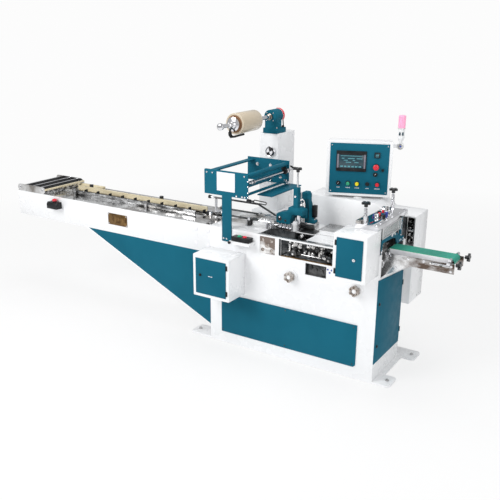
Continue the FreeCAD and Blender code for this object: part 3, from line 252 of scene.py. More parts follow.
def stained_steel():
    """Stainless side plates, bright at the machine and browned towards the free end."""
    m, tree, shader = new_tree("browned_side_steel")
    along = ramp(tree, position(tree)["X"], 0.7, 0.86, -0.25, 0.75)
    blots = ramp(tree, noise(tree, 13, 5, 0.6, (1, 1, 2)), 0.35, 0.65, -0.3, 0.5)
    stain = operate(tree, "Math", "ADD", along, blots)
    stain.use_clamp = True
    tones = mix_colour(tree, stain.outputs["Value"], grey(0.82), (0.115, 0.082, 0.064))
    gloss = ramp(tree, noise(tree, 40, 3, 0.6), 0.3, 0.7, 0.14, 0.3)
    feed(tree, shader, Base_Color=tones, Metallic=0.85, Roughness=gloss)
    bump(tree, shader, noise(tree, 150, 3, 0.6), 0.12, 0.0005)
    return m


def roll_end_material():
    """Film wound on its core: fine rings about the roll's axis."""
    m, tree, shader = new_tree("wound_film")
    lo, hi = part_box("film_roll")
    centred = add(tree, "Mapping", Vector=object_point(tree),
        Location=(-(lo.x + hi.x) / 2, 0, -(lo.z + hi.z) / 2))
    flat = operate(tree, "VectorMath", "MULTIPLY", centred.outputs["Vector"], (1, 0, 1))
    wave = add(tree, "TexNoise", Scale=900, Detail=2)
    wave.noise_dimensions = "1D"
    feed(tree, wave, W=reach(tree, flat.outputs["Vector"]))
    tone = ramp(tree, wave.outputs["Fac"], 0.35, 0.65)
    film = mix_colour(tree, tone, (0.5, 0.41, 0.29), (0.68, 0.6, 0.47))
    feed(tree, shader, Base_Color=film, Roughness=0.24, Coat_Weight=0.4)
    bump(tree, shader, wave.outputs["Fac"], 0.25, 0.0004)
    return m


def lens_material(name, colour, glow):
    """A lens or display that gives a little light of its own."""
    m, tree, shader = new_tree(name)
    tone = ramp(tree, noise(tree, 60, 2), 0.3, 0.7)
    lighter = tuple(min(1, c * 1.25) for c in colour)
    feed(tree, shader, Base_Color=mix_colour(tree, tone, colour, lighter), Roughness=0.18, Coat_Weight=0.5,
        Emission_Color=(*colour, 1), Emission_Strength=glow)
    return m


def clear_material():
    m, tree, shader = new_tree("clear_guard")
    tone = ramp(tree, noise(tree, 20, 2), 0.3, 0.7)
    pane = mix_colour(tree, tone, (0.86, 0.89, 0.9), (0.93, 0.95, 0.96))
    feed(tree, shader, Base_Color=pane, Roughness=0.05, Alpha=0.3)
    return m


ROLL = roll_end_material()
PINK = lens_material("signal_lens", (0.86, 0.33, 0.5), 0.22)
SCREEN = lens_material("panel_screen", (0.004, 0.035, 0.05), 0.1)
RAILS = two_tone("rail_faces", ((0.66, 0.57, 0.38), (0.74, 0.66, 0.47)), (grey(0.12), grey(0.86)),
    ((("Y", "LESS_THAN", -0.02), ("X", "GREATER_THAN", -2.35)),
    (("Z", "LESS_THAN", 0.934), ("X", "LESS_THAN", -2.37))), 14, (0.6, 2, 3))
STAND = two_tone("stand_faces", ((0.008, 0.009, 0.01), (0.02, 0.021, 0.022)),
    ((0.6, 0.6, 0.62), (0.84, 0.84, 0.86)), ((("X", "LESS_THAN", -0.6),),))
KNOBS = two_tone("knob_faces", ((0.006, 0.007, 0.008), (0.02, 0.021, 0.023)),
    (grey(0.25), (0.84, 0.84, 0.86)), ((("X", "LESS_THAN", -0.8), ("Y", "LESS_THAN", 0.0)),), 20)
STAINED = stained_steel()
CLEAR = clear_material()


def spread(groups):
    """A dictionary from groups of names that share one value."""
    return {name: value for value, names in groups for name in names.split()}


PAINT = spread((
    (WHITE, "base_frame column bracket_skin start_bracket hmi_box lamp_body"),
    (TEAL, "front_panel end_door left_box_door right_box_door frame_front frame_rear frame_bars idler_roller "
           "bracket_panels exit_frame hmi_face"),
    (BLACK, "door_hinges chain_lugs end_box_slats estop_base fin_motor start_box hmi_controls"),
    (CHROME, "reel_shaft seal_bridge adjusting_screws discharge_rollers"),
    (MIRROR_STEEL, "seal_wheels infeed_deck end_box film_former"),
    (STEEL, "deck_plate chain_guide upper_jaw lower_jaw"),
    (DARK_STEEL, "lug_chain forming_rods jaw_frame"),
    (BRONZE_CHROME, "handwheel_left handwheel_right"),
    (TEAL_CAST, "bearing_block fin_casting"),
    (ROLL, "film_roll"), (RAILS, "guide_rails"), (RED, "estop_button"), (STAND, "rod_stand"),
    (KNOBS, "hand_knobs"), (CLEAR, "exit_guard"), (STAINED, "discharge_sides"), (BELT, "discharge_belt"),
    (PINK, "lamp_lens"),
))
# how wide each node's edges are softened, in millimetres
SOFT_EDGES = spread((
    (0.6, "deck_plate film_former"), (0.8, "bracket_panels discharge_sides"),
    (1.0, "front_panel hmi_face exit_frame jaw_frame rod_stand"),
    (1.2, "end_door left_box_door right_box_door frame_front frame_rear frame_bars "
          "handwheel_left handwheel_right"),
    (1.5, "infeed_trough bracket_skin seal_bridge"),
    (2.0, "base_frame fin_motor guide_rails end_box_slats film_roll"),
    (2.5, "main_cabinet left_box right_box"), (3.0, "column bearing_block"),
    (4.0, "rear_box fin_casting start_bracket"), (5.0, "estop_base"), (6.0, "hmi_box start_box"),
))


def finish_edges(item, width):
    """Softens the sharp edges by the width in metres, where there is one, and shades by facets."""
    if width:
        soften = item.modifiers.new("soften", "BEVEL")
        soften.width = width
        soften.segments = 2
        soften.limit_method = "ANGLE"
        soften.angle_limit = math.radians(40)
    facet = item.modifiers.new("facet", "EDGE_SPLIT")
    facet.split_angle = math.radians(38)
    item.data.shade_smooth()


# the housings are enamelled outside and carry painted shade on their inner faces; of rear_box, only its open
# drive bay does
for name in ("main_cabinet", "rear_box", "left_box", "right_box", "infeed_trough"):
    low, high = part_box(name)
    if name == "main_cabinet":
        low.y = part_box("front_panel")[1].y
    if name == "rear_box":
        low, high = (Vector((high.x - 0.094, low.y - SKIN, high.z - 0.28)),
            Vector((high.x + 0.003, low.y + 0.17, high.z - 0.062)))
    PAINT[name] = painted_shade_inside(name + "_enamel", low, high)
for name, node in NODES.items():
    node.data.materials.clear()
    node.data.materials.append(PAINT[name])
    weld = node.modifiers.new("weld", "WELD")
    weld.merge_threshold = 0.00002
    finish_edges(node, SOFT_EDGES.get(name, 0) / 1000)


# ---------------- building blocks for the added pieces
def ring_points(centre, u, v, r, count):
    """Points round the centre, in the plane of u and v."""
    turns = [2 * math.pi * k / count for k in range(count)]
    return [centre + u * (r * math.cos(a)) + v * (r * math.sin(a)) for a in turns]


def skin(bm, rings):
    """Faces between each ring of vertices and the next, closed at both ends."""
    count = len(rings[0])
    for low, high in zip(rings, rings[1:]):
        for k in range(count):
            bm.faces.new((low[k], low[(k + 1) % count], high[(k + 1) % count], high[k]))
    bm.faces.new(list(reversed(rings[0])))
    bm.faces.new(rings[-1])


def frame_of(axis):
    """The axis as a unit vector, and two more at right angles to it."""
    axis = Vector(axis).normalized()
    side = Vector((0, 0, 1)) if abs(axis.z) < 0.9 else Vector((1, 0, 0))
    u = axis.cross(side).normalized()
    return axis, u, axis.cross(u).normalized()


def lathe(bm, at, axis, profile, count=20):
    """A turned form: profile is (distance along the axis, radius) pairs from the foot up."""
    axis, u, v = frame_of(axis)
    at = Vector(at)
    rings = [[bm.verts.new(p) for p in ring_points(at + axis * t, u, v, max(r, 0.0002), count)] for t,
        r in profile]
    skin(bm, rings)


def stud(bm, at, axis, r, height, tip, count=16, step=CHAMFER):
    """A round pin whose end steps in to the tip radius."""
    lathe(bm, at, axis, ((0, r), (height, r), (height + step, tip)), count)


def disc(bm, at, axis, r, height, count=16):
    lathe(bm, at, axis, ((0, r), (height, r)), count)


def slab(bm, low, high):
    """A plate or bar that fills the box from low to high."""
    low, high = Vector(low), Vector(high)
    for vert in bmesh.ops.create_cube(bm, size=1.0)["verts"]:
        vert.co = Vector((low[n] + (vert.co[n] + 0.5) * (high[n] - low[n]) for n in range(3)))


def turned_slab(bm, centre, size, matrix):
    """A plate about its centre, turned by the matrix."""
    for vert in bmesh.ops.create_cube(bm, size=1.0)["verts"]:
        vert.co = Vector(centre) + matrix @ Vector((vert.co[n] * size[n] for n in range(3)))


def tube(bm, points, r, count=10):
    """A round bar or wire through the points."""
    points = [Vector(p) for p in points]
    rings = []
    u = None
    for n, p in enumerate(points):
        a = points[max(n - 1, 0)]
        b = points[min(n + 1, len(points) - 1)]
        axis = (b - a).normalized()
        if u is None:
            axis, u, v = frame_of(axis)
        else:
            u = (u - axis * u.dot(axis)).normalized()
            v = axis.cross(u)
        rings.append([bm.verts.new(q) for q in ring_points(p, u, v, r, count)])
    skin(bm, rings)


def arc(centre, u, v, r, start, end, steps):
    """Points round the centre from the start angle to the end angle, in degrees from u towards v."""
    turns = [math.radians(start + (end - start) * k / steps) for k in range(steps + 1)]
    return [Vector(centre) + Vector(u) * (r * math.cos(a)) + Vector(v) * (r * math.sin(a)) for a in turns]


def bolt(bm, at, axis, r=0.006, height=0.005):
    """A hexagon head on a washer."""
    disc(bm, at, axis, r * 1.5, height * 0.25)
    at = Vector(at) + Vector(axis).normalized() * height * 0.25
    lathe(bm, at, axis, ((0, r), (height * 0.8, r), (height, r * 0.8)), 6)


def cap_screw(bm, at, axis, r=0.005, height=0.004):
    """A round socket head with its hole."""
    lathe(bm, at, axis, ((0, r), (height * 0.8, r), (height, r * 0.85), (height, r * 0.5),
        (height * 0.4, r * 0.45)), 14)


def spring(bm, low, high, r, wire, turns):
    """A wire coil from low up to high."""
    low, high = Vector(low), Vector(high)
    steps = turns * 12
    coil = [(k / steps, k * math.pi / 6) for k in range(steps + 1)]
    tube(bm, [low + (high - low) * t + Vector((r * math.cos(a), r * math.sin(a), 0)) for t, a in coil],
        wire, 6)


def new_object(name, data):
    item = bpy.data.objects.new(name, data)
    bpy.context.scene.collection.objects.link(item)
    return item


def piece(name, bm, material, body="machine", soft=0.0):
    """Makes the object, gives it its finish and lets it ride on the body."""
    bmesh.ops.recalc_face_normals(bm, faces=bm.faces[:])
    data = bpy.data.meshes.new(name)
    bm.to_mesh(data)
    bm.free()
    data.materials.append(material)
    item = new_object(name, data)
    finish_edges(item, soft)
    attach(item, body)


def single(name, material, form, *sizes, body="machine", soft=0.0):
    """A piece of one form."""
    bm = bmesh.new()
    form(bm, *sizes)
    piece(name, bm, material, body, soft)


FRONT, BACK, UP, RIGHT = (0, -1, 0), (0, 1, 0), (0, 0, 1), (1, 0, 0)
box = {name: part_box(name) for name in NODES}
cab_hi = box["main_cabinet"][1]
deck = cab_hi.z
front = box["front_panel"][1].y
plate_top = 0.9035   # just above the deck plate

# ---------------- operator panel
face_lo, face_hi = box["hmi_face"]
turn = math.radians(20)
out = Vector((math.sin(turn), -math.cos(turn), 0))
across = Vector((math.cos(turn), math.sin(turn), 0))
panel_w = (face_hi.x - face_lo.x - 0.003 * math.sin(turn)) / math.cos(turn)
panel_h = face_hi.z - face_lo.z
panel_mid = (face_lo + face_hi) / 2 + out * 0.0015
spin = Matrix((across, -out, Vector((0, 0, 1)))).transposed()


def tile(bm, centre, size):
    """A small plate that is turned with the panel."""
    turned_slab(bm, centre, size, matrix=spin)


def on_panel(x, z, lift=0.0):
    """A point on the panel face from shares of its width and height, lift metres in front of it."""
    return panel_mid + across * (panel_w * x) + Vector((0, 0, panel_h * z)) + out * lift


def plate_on_panel(name, x, z, w, h, low, high, material, soft=0.0006):
    single(name, material, tile, on_panel(x, z, (low + high) / 2), (w, high - low, h), soft=soft)


GREY_FRAME = surface("display_frame", (0.16, 0.15, 0.19), (0.22, 0.21, 0.25), (0.35, 0.5), mottle=20,
    peel=(400, 0.2))
DISPLAY_TONE = lens_material("display_trace", (0.07, 0.24, 0.28), 0.14)
screen_x, screen_z = -0.134, 0.151
plate_on_panel("display_bezel", screen_x, screen_z, 0.208, 0.146, 0.006, 0.0105, BLACK, 0.002)
bm = bmesh.new()
for k in (-1, 1):
    tile(bm, on_panel(screen_x, screen_z, 0.0108) + across * (0.094 * k), (0.012, 0.0008, 0.098))
piece("display_sides", bm, GREY_FRAME)
plate_on_panel("display_glass", screen_x, screen_z - 0.004, 0.172, 0.094, 0.011, 0.012, SCREEN)
bm = bmesh.new()
for k in range(7):
    w = 0.018 + 0.01 * ((k * 5) % 4)
    tile(bm, on_panel(screen_x - 0.14 + 0.046 * k, screen_z + 0.055 - 0.038 * (k % 3), 0.0122),
        (w, 0.0006, 0.006))
for k in range(6):
    tile(bm, on_panel(screen_x - 0.16 + 0.062 * k, screen_z - 0.105, 0.0122), (0.018, 0.0006, 0.01))
tile(bm, on_panel(screen_x, screen_z + 0.105, 0.0122), (0.15, 0.0006, 0.004))
piece("display_marks", bm, DISPLAY_TONE)
plate_on_panel("meter_glass", 0.299, 0.285, 0.027, 0.026, 0.0088, 0.0102, SCREEN, 0.001)
plate_on_panel("meter_rim", 0.299, 0.285, 0.04, 0.04, 0.004, 0.0092, BLACK, 0.002)


def button_on_panel(name, x, z, r, material, mushroom=False):
    bm = bmesh.new()
    foot = on_panel(x, z, 0.003)
    stud(bm, foot, out, r * 1.28, 0.004, r * 1.1, 24)
    piece(name + "_rim", bm, BLACK)
    bm = bmesh.new()
    if mushroom:
        lathe(bm, foot, out, ((0.01, r * 0.6), (0.018, r * 0.6), (0.019, r * 1.15), (0.026, r * 1.2),
            (0.03, r * 0.9), (0.031, r * 0.3)), 28)
    else:
        lathe(bm, foot, out, ((0.005, r), (0.0165, r), (0.0185, r * 0.86), (0.0185, r * 0.3)), 24)
    piece(name, bm, material)


bm = bmesh.new()
for k in range(3):
    tile(bm, on_panel(0.299, 0.29, 0.0104) + across * (0.007 * (k - 1)), (0.0045, 0.0006, 0.009))
tile(bm, on_panel(0.299, 0.256, 0.0104), (0.018, 0.0006, 0.003))
piece("meter_marks", bm, DISPLAY_TONE)
button_on_panel("panel_stop", 0.29, 0.055, 0.017, RED, True)
button_on_panel("panel_green", -0.174, -0.297, 0.0132, GREEN)
button_on_panel("panel_yellow", -0.019, -0.297, 0.0132, YELLOW)
button_on_panel("panel_black", 0.157, -0.297, 0.0112, BLACK)
button_on_panel("panel_red", 0.324, -0.297, 0.0132, RED)
bm = bmesh.new()
for x, count in ((-0.34, 3), (-0.174, 4), (-0.019, 4), (0.157, 3), (0.324, 5)):
    for k in range(count):
        tile(bm, on_panel(x, -0.385, 0.0004) + across * (0.008 * (k - (count - 1) / 2)),
            (0.005, 0.0006, 0.0045 + 0.0015 * (k % 2)))
piece("panel_marks", bm, SHEET)
bm = bmesh.new()
rim_w, rim_h = panel_w / 2 + 0.011, panel_h / 2 + 0.009
for k in (-1, 1):
    tile(bm, panel_mid + across * (rim_w * k) - out * 0.01, (0.022, 0.016, 2 * rim_h + 0.018))
    tile(bm, panel_mid + Vector((0, 0, rim_h * k)) - out * 0.01, (2 * rim_w - 0.021, 0.016, 0.018))
piece("panel_white_rim", bm, WHITE, soft=0.003)
# painted shade: a thin black strip stands for the shadowed gap under the panel
single("panel_lower_gap_shade", BLACK, tile, panel_mid - Vector((0, 0, panel_h / 2 + 0.0205)) - out * 0.012,
    (panel_w * 0.86, 0.012, 0.005))
for name, x, z, r in (("panel_switch", -0.34, -0.297, 0.013), ("panel_key", 0.283, -0.097, 0.013)):
    bm = bmesh.new()
    foot = on_panel(x, z, 0.003)
    lathe(bm, foot, out, ((0, r * 1.2), (0.005, r * 1.2), (0.006, r), (0.012, r)), 24)
    turned_slab(bm, foot + out * 0.016, (0.006, 0.012, r * 1.9), spin @ Matrix.Rotation(0.6, 3, "Y"))
    piece(name, bm, BLACK, soft=0.001)
    single(name + "_pointer", SHEET, turned_slab, foot + out * 0.0222 + Vector((0, 0, r * 0.35)),
        (0.0025, 0.001, r * 0.9), spin @ Matrix.Rotation(0.6, 3, "Y"))
bm = bmesh.new()
for x in (-0.47, 0.47):
    for z in (-0.46, 0.46):
        cap_screw(bm, on_panel(x, z), out, 0.0045, 0.003)
piece("panel_screws", bm, CHROME)
# back cover of the operator panel
bm = bmesh.new()
back_mid = panel_mid - out * 0.1032
tile(bm, back_mid, (0.36, 0.003, 0.32))
for k in range(8):
    tile(bm, back_mid - out * 0.002 + Vector((0, 0, 0.02 + 0.012 * k)), (0.12, 0.003, 0.004))
piece("panel_back_cover", bm, SHEET, soft=0.001)

# signal lamp: neck flare, two small dark windows, grey ring
lens_lo, lens_hi = box["lamp_lens"]
lamp_c = (lens_lo + lens_hi) / 2
single("lamp_ring", LIME, disc, (lamp_c.x, lamp_c.y, lens_lo.z - 0.004), UP, 0.0262, 0.006, 28)
single("lamp_cap", PINK, lathe, (lamp_c.x, lamp_c.y, lens_hi.z - 0.001), UP,
    ((0, 0.0255), (0.003, 0.0245), (0.006, 0.018), (0.007, 0.006)), 28)
bm = bmesh.new()
for k in (-1, 1):
    tile(bm, Vector((lamp_c.x, lamp_c.y, lens_lo.z - 0.038)) + out * 0.02 + across * 0.0105 * k,
        (0.012, 0.01, 0.022))
piece("lamp_windows", bm, SCREEN, soft=0.001)
single("lamp_flare", WHITE, lathe, (lamp_c.x, lamp_c.y, lens_lo.z - 0.098), UP,
    ((0, 0.01), (0.01, 0.016), (0.028, 0.021)), 24)
bm = bmesh.new()
pivot = Vector((lamp_c.x, lamp_c.y, lens_lo.z - 0.126))
lathe(bm, pivot + out * 0.012, out, ((0, 0.0205), (0.003, 0.0205), (0.0045, 0.017), (0.003, 0.016),
    (0.004, 0.01)), 26)
piece("lamp_pivot", bm, STEEL)
single("lamp_pivot_cap", BLUE, lathe, pivot + out * 0.0155, out,
    ((0, 0.007), (0.003, 0.0065), (0.004, 0.003)), 18)

# ---------------- reel, bearing and column
roll_lo, roll_hi = box["film_roll"]
shaft_lo = box["reel_shaft"][0]
ax, az = (roll_lo.x + roll_hi.x) / 2, (roll_lo.z + roll_hi.z) / 2
# the card core's brown, painted darker as shade on the roll's end face
SHADED_CORE = surface("card_core_painted_shade", (0.19, 0.085, 0.035), (0.3, 0.16, 0.075), (0.55, 0.7), mottle=40,
    peel=(300, 0.3))
single("roll_core_end", SHADED_CORE, lathe, (ax, roll_lo.y - 0.0012, az), FRONT,
    ((-0.002, 0.061), (0, 0.0615), (0.0006, 0.06), (0.0006, 0.045)), 40, body="reel")
bm = bmesh.new()
lathe(bm, (ax, roll_lo.y - 0.018, az), FRONT, ((0, 0.05), (0.006, 0.05), (0.012, 0.036), (0.026, 0.03),
    (0.032, 0.021), (0.06, 0.019), (0.064, 0.0145)), 36)
for at in arc((ax, roll_lo.y - 0.024, az), RIGHT, UP, 0.034, 90, 330, 2):
    cap_screw(bm, at, FRONT, 0.0045, 0.004)
lathe(bm, (ax, roll_hi.y + 0.012, az), BACK, ((0, 0.032), (0.012, 0.032), (0.016, 0.02), (0.05, 0.019),
    (0.052, 0.0145)), 28)
piece("reel_hubs", bm, CHROME, "reel")
single("reel_nut", CHROME, lathe, (ax, shaft_lo.y + 0.02, az), FRONT,
    ((0, 0.023), (0.018, 0.0245), (0.024, 0.018), (0.026, 0.008)), 28, body="reel")
single("shaft_collar", BRONZE_CHROME, lathe, (ax, box["bearing_block"][0].y - 0.006, az), FRONT,
    ((0, 0.024), (0.006, 0.024), (0.008, 0.019), (0.024, 0.019), (0.026, 0.0145)), 28, body="reel")
bm = bmesh.new()
hook = ((0.000, -0.056, -0.024), (-0.002, -0.058, -0.05), (-0.001, -0.056, -0.07), (0.002, -0.044, -0.084),
    (0.004, -0.01, -0.087), (0.006, 0.04, -0.085), (0.008, 0.105, -0.0835))
tube(bm, [Vector((ax + x, roll_lo.y + y, az + z)) for x, y, z in hook], 0.0075, 10)
tube(bm, [Vector((ax + x, roll_lo.y + y, az + z)) for x, y, z in hook[1:4]], 0.0125, 12)
piece("reel_lever", bm, BLACK, "reel")
bear_lo, bear_hi = box["bearing_block"]
bm = bmesh.new()
for at in arc((ax, bear_lo.y, az), RIGHT, UP, 0.04, 45, 315, 3):
    cap_screw(bm, at, FRONT, 0.0045, 0.004)
for x in (bear_lo.x + 0.012, bear_hi.x - 0.012):
    for y in (bear_lo.y + 0.018, bear_hi.y - 0.018):
        bolt(bm, (x, y, box["column"][1].z + 0.038), UP, 0.006, 0.008)
piece("bearing_fittings", bm, CHROME)
bm = bmesh.new()
strap = arc((ax, bear_lo.y + 0.118, az), (1, 0, 0), (0, 0, 1), 0.054, -35, 100, 14)
for a, b in zip(strap, strap[1:]):
    mid, run = (a + b) / 2, (b - a)
    turn_m = Matrix.Rotation(-math.atan2(run.z, run.x), 3, "Y")
    turned_slab(bm, mid, (run.length * 1.15, 0.018, 0.004), turn_m)
piece("reel_brake_strap", bm, RED, soft=0.0008)
bm = bmesh.new()
tube(bm, [Vector((ax + 0.045, bear_lo.y + 0.118, az - 0.032)),
    Vector((ax + 0.05, bear_lo.y + 0.118, bear_lo.z + 0.038))], 0.0045, 8)
stud(bm, (ax + 0.046, bear_lo.y + 0.118, bear_lo.z + 0.038), UP, 0.01, 0.012, 0.006)
piece("reel_brake_post", bm, BLACK)
col_lo, col_hi = box["column"]
dial = Vector((col_lo.x + (col_hi.x - col_lo.x) * 0.62, col_lo.y - 0.014, col_hi.z - 0.136))
single("dial_rim", CHROME, lathe, dial, FRONT, ((-0.002, 0.04), (0.003, 0.04), (0.006, 0.037),
    (0.004, 0.034)), 36)
single("dial_dome", BLACK, lathe, dial + Vector((0, -0.0035, 0)), FRONT,
    ((0, 0.033), (0.002, 0.033), (0.006, 0.022), (0.008, 0.006)), 30)
bm = bmesh.new()
for first in (-75, 105):
    rim = arc(dial + Vector((0, -0.0105, 0)), RIGHT, UP, 0.027, first, first + 96, 6)
    bm.faces.new([bm.verts.new(p) for p in [dial + Vector((0, -0.0125, 0))] + rim])
piece("dial_face", bm, SHEET)
bm = bmesh.new()
for z in (col_lo.z + 0.03, col_hi.z - 0.03):
    for y in (col_lo.y + 0.03, col_hi.y - 0.03):
        cap_screw(bm, (col_hi.x, y, z), RIGHT, 0.005, 0.003)
        cap_screw(bm, (col_lo.x, y, z), (-1, 0, 0), 0.005, 0.003)
slab(bm, (col_lo.x + 0.02, col_hi.y, col_lo.z + 0.06), (col_hi.x - 0.02, col_hi.y + 0.002, col_hi.z - 0.05))
piece("column_screws", bm, SHEET, soft=0.0006)

# ---------------- film guide frame
ff_lo, ff_hi = box["frame_front"]
fr_lo, fr_hi = box["frame_rear"]
guide_x, guide_z = -0.318, 1.252   # the thin guide rod
bm = bmesh.new()
for x, z in ((ff_lo.x + 0.022, ff_hi.z - 0.022), (ff_lo.x + 0.071, ff_hi.z - 0.022),
        (ff_hi.x - 0.027, ff_hi.z - 0.022), (ff_hi.x - 0.093, ff_hi.z - 0.169),
        (ff_hi.x - 0.046, ff_hi.z - 0.169), (ff_hi.x - 0.023, ff_hi.z - 0.169),
        (ff_lo.x + 0.167, ff_lo.z + 0.022), (ff_lo.x + 0.192, ff_lo.z + 0.022)):
    cap_screw(bm, (x, ff_lo.y, z), FRONT, 0.0065, 0.005)
for x, z in ((-0.606, 1.268), (-0.489, 1.268), (-0.4, 1.19)):
    bolt(bm, (x, fr_lo.y, z), FRONT, 0.0085, 0.009)
    bolt(bm, (x, fr_hi.y, z), BACK, 0.0075, 0.007)
lathe(bm, (-0.49, fr_lo.y, 1.165), FRONT, ((0, 0.016), (0.012, 0.016), (0.013, 0.01), (0.004, 0.009)), 20)
piece("frame_bolts", bm, CHROME)
single("frame_blank_sheet", SHEET, slab, (-0.588, ff_lo.y - 0.0012, 1.172),
    (-0.435, ff_lo.y - 0.0002, 1.307))
bm = bmesh.new()
tube(bm, [(guide_x, ff_lo.y + 0.012, guide_z), (guide_x, fr_hi.y + 0.05, guide_z)], 0.005, 12)
tube(bm, [(-0.352, ff_lo.y + 0.008, 1.162), (-0.352, fr_hi.y - 0.008, 1.162)], 0.009, 12)
for y in (ff_hi.y + 0.02, ff_hi.y + 0.05):
    disc(bm, (guide_x, y, guide_z), BACK, 0.013, 0.012, 18)
for y, z in ((ff_hi.y, 1.262), (ff_hi.y, 1.225), (ff_hi.y, 1.182), (ff_hi.y, 1.15)):
    stud(bm, (ff_hi.x - 0.002, y - 0.006, z), RIGHT, 0.0065, 0.007, 0.004, 14, 0.001)
for y in (fr_lo.y - 0.03, fr_lo.y - 0.06):
    disc(bm, (guide_x, y, guide_z), BACK, 0.016, 0.018, 18)
stud(bm, (-0.345, fr_lo.y - 0.02, 1.158), UP, 0.012, 0.02, 0.007)
stud(bm, (-0.31, fr_lo.y - 0.05, 1.154), UP, 0.01, 0.018, 0.006)
piece("frame_rods", bm, CHROME)
bm = bmesh.new()
wing = Vector((guide_x, fr_hi.y + 0.048, guide_z))
stud(bm, wing, BACK, 0.011, 0.022, 0.006, 18)
tube(bm, [wing + Vector((-0.034, 0.012, 0.014)), wing + Vector((0, 0.01, 0)),
    wing + Vector((0.04, 0.012, -0.01))], 0.007, 10)
stud(bm, (guide_x, fr_lo.y - 0.085, guide_z), BACK, 0.019, 0.02, 0.012, 20)
lathe(bm, (-0.362, fr_lo.y - 0.012, 1.262), FRONT, ((0, 0.017), (0.022, 0.015), (0.024, 0.008)), 20)
loop_c = Vector((ff_hi.x - 0.02, ff_lo.y - 0.004, 1.122))
stud(bm, loop_c + Vector((0, 0.03, 0)), RIGHT, 0.012, 0.028, 0.008)
tube(bm, [loop_c + Vector(p) for p in ((0.06, 0.03, 0.012), (0.15, 0.03, 0.008), (0.158, 0.03, 0.0),
    (0.15, 0.03, -0.01), (0.06, 0.03, -0.008), (0.05, 0.03, 0.002), (0.06, 0.03, 0.012))], 0.0038, 8)
tube(bm, [loop_c + Vector((0.02, 0.03, 0)), loop_c + Vector((0.055, 0.03, 0.002))], 0.006, 8)
piece("frame_black_fittings", bm, BLACK)

# ---------------- forming rods and former
rod_lo, rod_hi = box["forming_rods"]
rod_y, rod_z, hold_z = 0.077, 0.95, 1.047   # the two forming rods, and the hold-down rod above
bm = bmesh.new()
for y in (-rod_y, rod_y):
    tube(bm, [(rod_hi.x - 0.1, y, rod_z), (rod_hi.x + 0.0015, y, rod_z)], 0.0078, 14)
    stud(bm, (-0.415, y, 0.934), UP, 0.014, 0.028, 0.009)
tube(bm, [(rod_lo.x + 0.004, 0, hold_z), (rod_lo.x - 0.03, 0, hold_z)], 0.0085, 12)
stud(bm, (rod_lo.x + 0.04, -0.095, rod_z), FRONT, 0.012, 0.02, 0.008)
for y in (-0.1, 0.078):
    slab(bm, (rod_lo.x + 0.006, y, 0.936), (rod_lo.x + 0.034, y + 0.022, 0.964))
for side in (-1, 1):
    tube(bm, [(-0.36, 0.056 * side, 0.925), (-0.22, 0.052 * side, 0.93), (-0.17, 0.04 * side, 0.935)],
        0.0045, 8)
stud(bm, (-0.225, -0.075, 0.906), UP, 0.013, 0.03, 0.008)
stud(bm, (-0.262, -0.085, 0.903), UP, 0.009, 0.045, 0.006)
piece("former_fittings", bm, CHROME)
bm = bmesh.new()
lathe(bm, (rod_lo.x - 0.028, 0, hold_z), (-1, 0, 0), ((0, 0.012), (0.018, 0.014), (0.022, 0.008)), 18)
lathe(bm, (rod_lo.x + 0.02, -0.1, rod_z), FRONT, ((0, 0.015), (0.016, 0.017), (0.02, 0.01)), 18)
piece("former_knobs", bm, BLACK)

# ---------------- fin-seal unit
fin_lo, fin_hi = box["fin_casting"]
bm = bmesh.new()
lathe(bm, (fin_lo.x + 0.028, fin_lo.y - 0.0008, 0.978), FRONT, ((-0.002, 0.017), (0, 0.017)), 28)
lathe(bm, (fin_lo.x + 0.075, fin_lo.y - 0.0008, 0.968), FRONT, ((-0.002, 0.009), (0, 0.009)), 20)
for x in (-0.062, -0.05, -0.038):
    slab(bm, (x, 0.0705, 0.955), (x + 0.003, 0.0722, 1.085))
for x in (-0.036, -0.024, -0.012):
    slab(bm, (x, 0.0705, 0.955), (x + 0.0025, 0.0722, 1.12))
piece("casting_shadows", bm, SHADOW)
bm = bmesh.new()
cap_screw(bm, (fin_lo.x + 0.03, fin_lo.y - 0.002, 0.99), FRONT, 0.006, 0.005)
cap_screw(bm, (-0.069, -0.021, 1.15), FRONT, 0.008, 0.006)
for y in (0.1, 0.123):
    bolt(bm, (fin_hi.x - 0.012, y, 0.964), UP, 0.0065, 0.008)
for z in (1.02, 1.06, 1.1):
    stud(bm, (-0.052, 0.055, z), FRONT, 0.011, 0.03, 0.007)
stud(bm, (-0.06, 0.045, 1.12), UP, 0.008, 0.05, 0.005, 14)
for x in (-0.19, -0.16, -0.13, -0.1):
    lathe(bm, (x, -0.02, plate_top), UP, ((0, 0.013), (0.036, 0.012), (0.04, 0.007)), 16)
slab(bm, (-0.205, -0.05, plate_top + 0.0001), (-0.085, -0.028, 0.918))
piece("casting_fittings", bm, CHROME)
single("fin_cylinder_cap", WHITE, lathe, (-0.06, -0.028, plate_top), UP,
    ((0, 0.016), (0.04, 0.016), (0.055, 0.019), (0.066, 0.017), (0.07, 0.01)), 24)
bm = bmesh.new()
for k in range(4):
    slab(bm, (-0.078 + 0.006 * k, 0.058 - 0.01 * k, plate_top + 0.0001 + 0.01 * k),
        (0.052 - 0.004 * k, 0.0655, 0.9105 + 0.01 * k))
slab(bm, (-0.03, -0.03, plate_top + 0.0001), (0.09, 0.055, 0.91))
piece("plinth_plates", bm, DARK_STEEL, soft=0.0008)

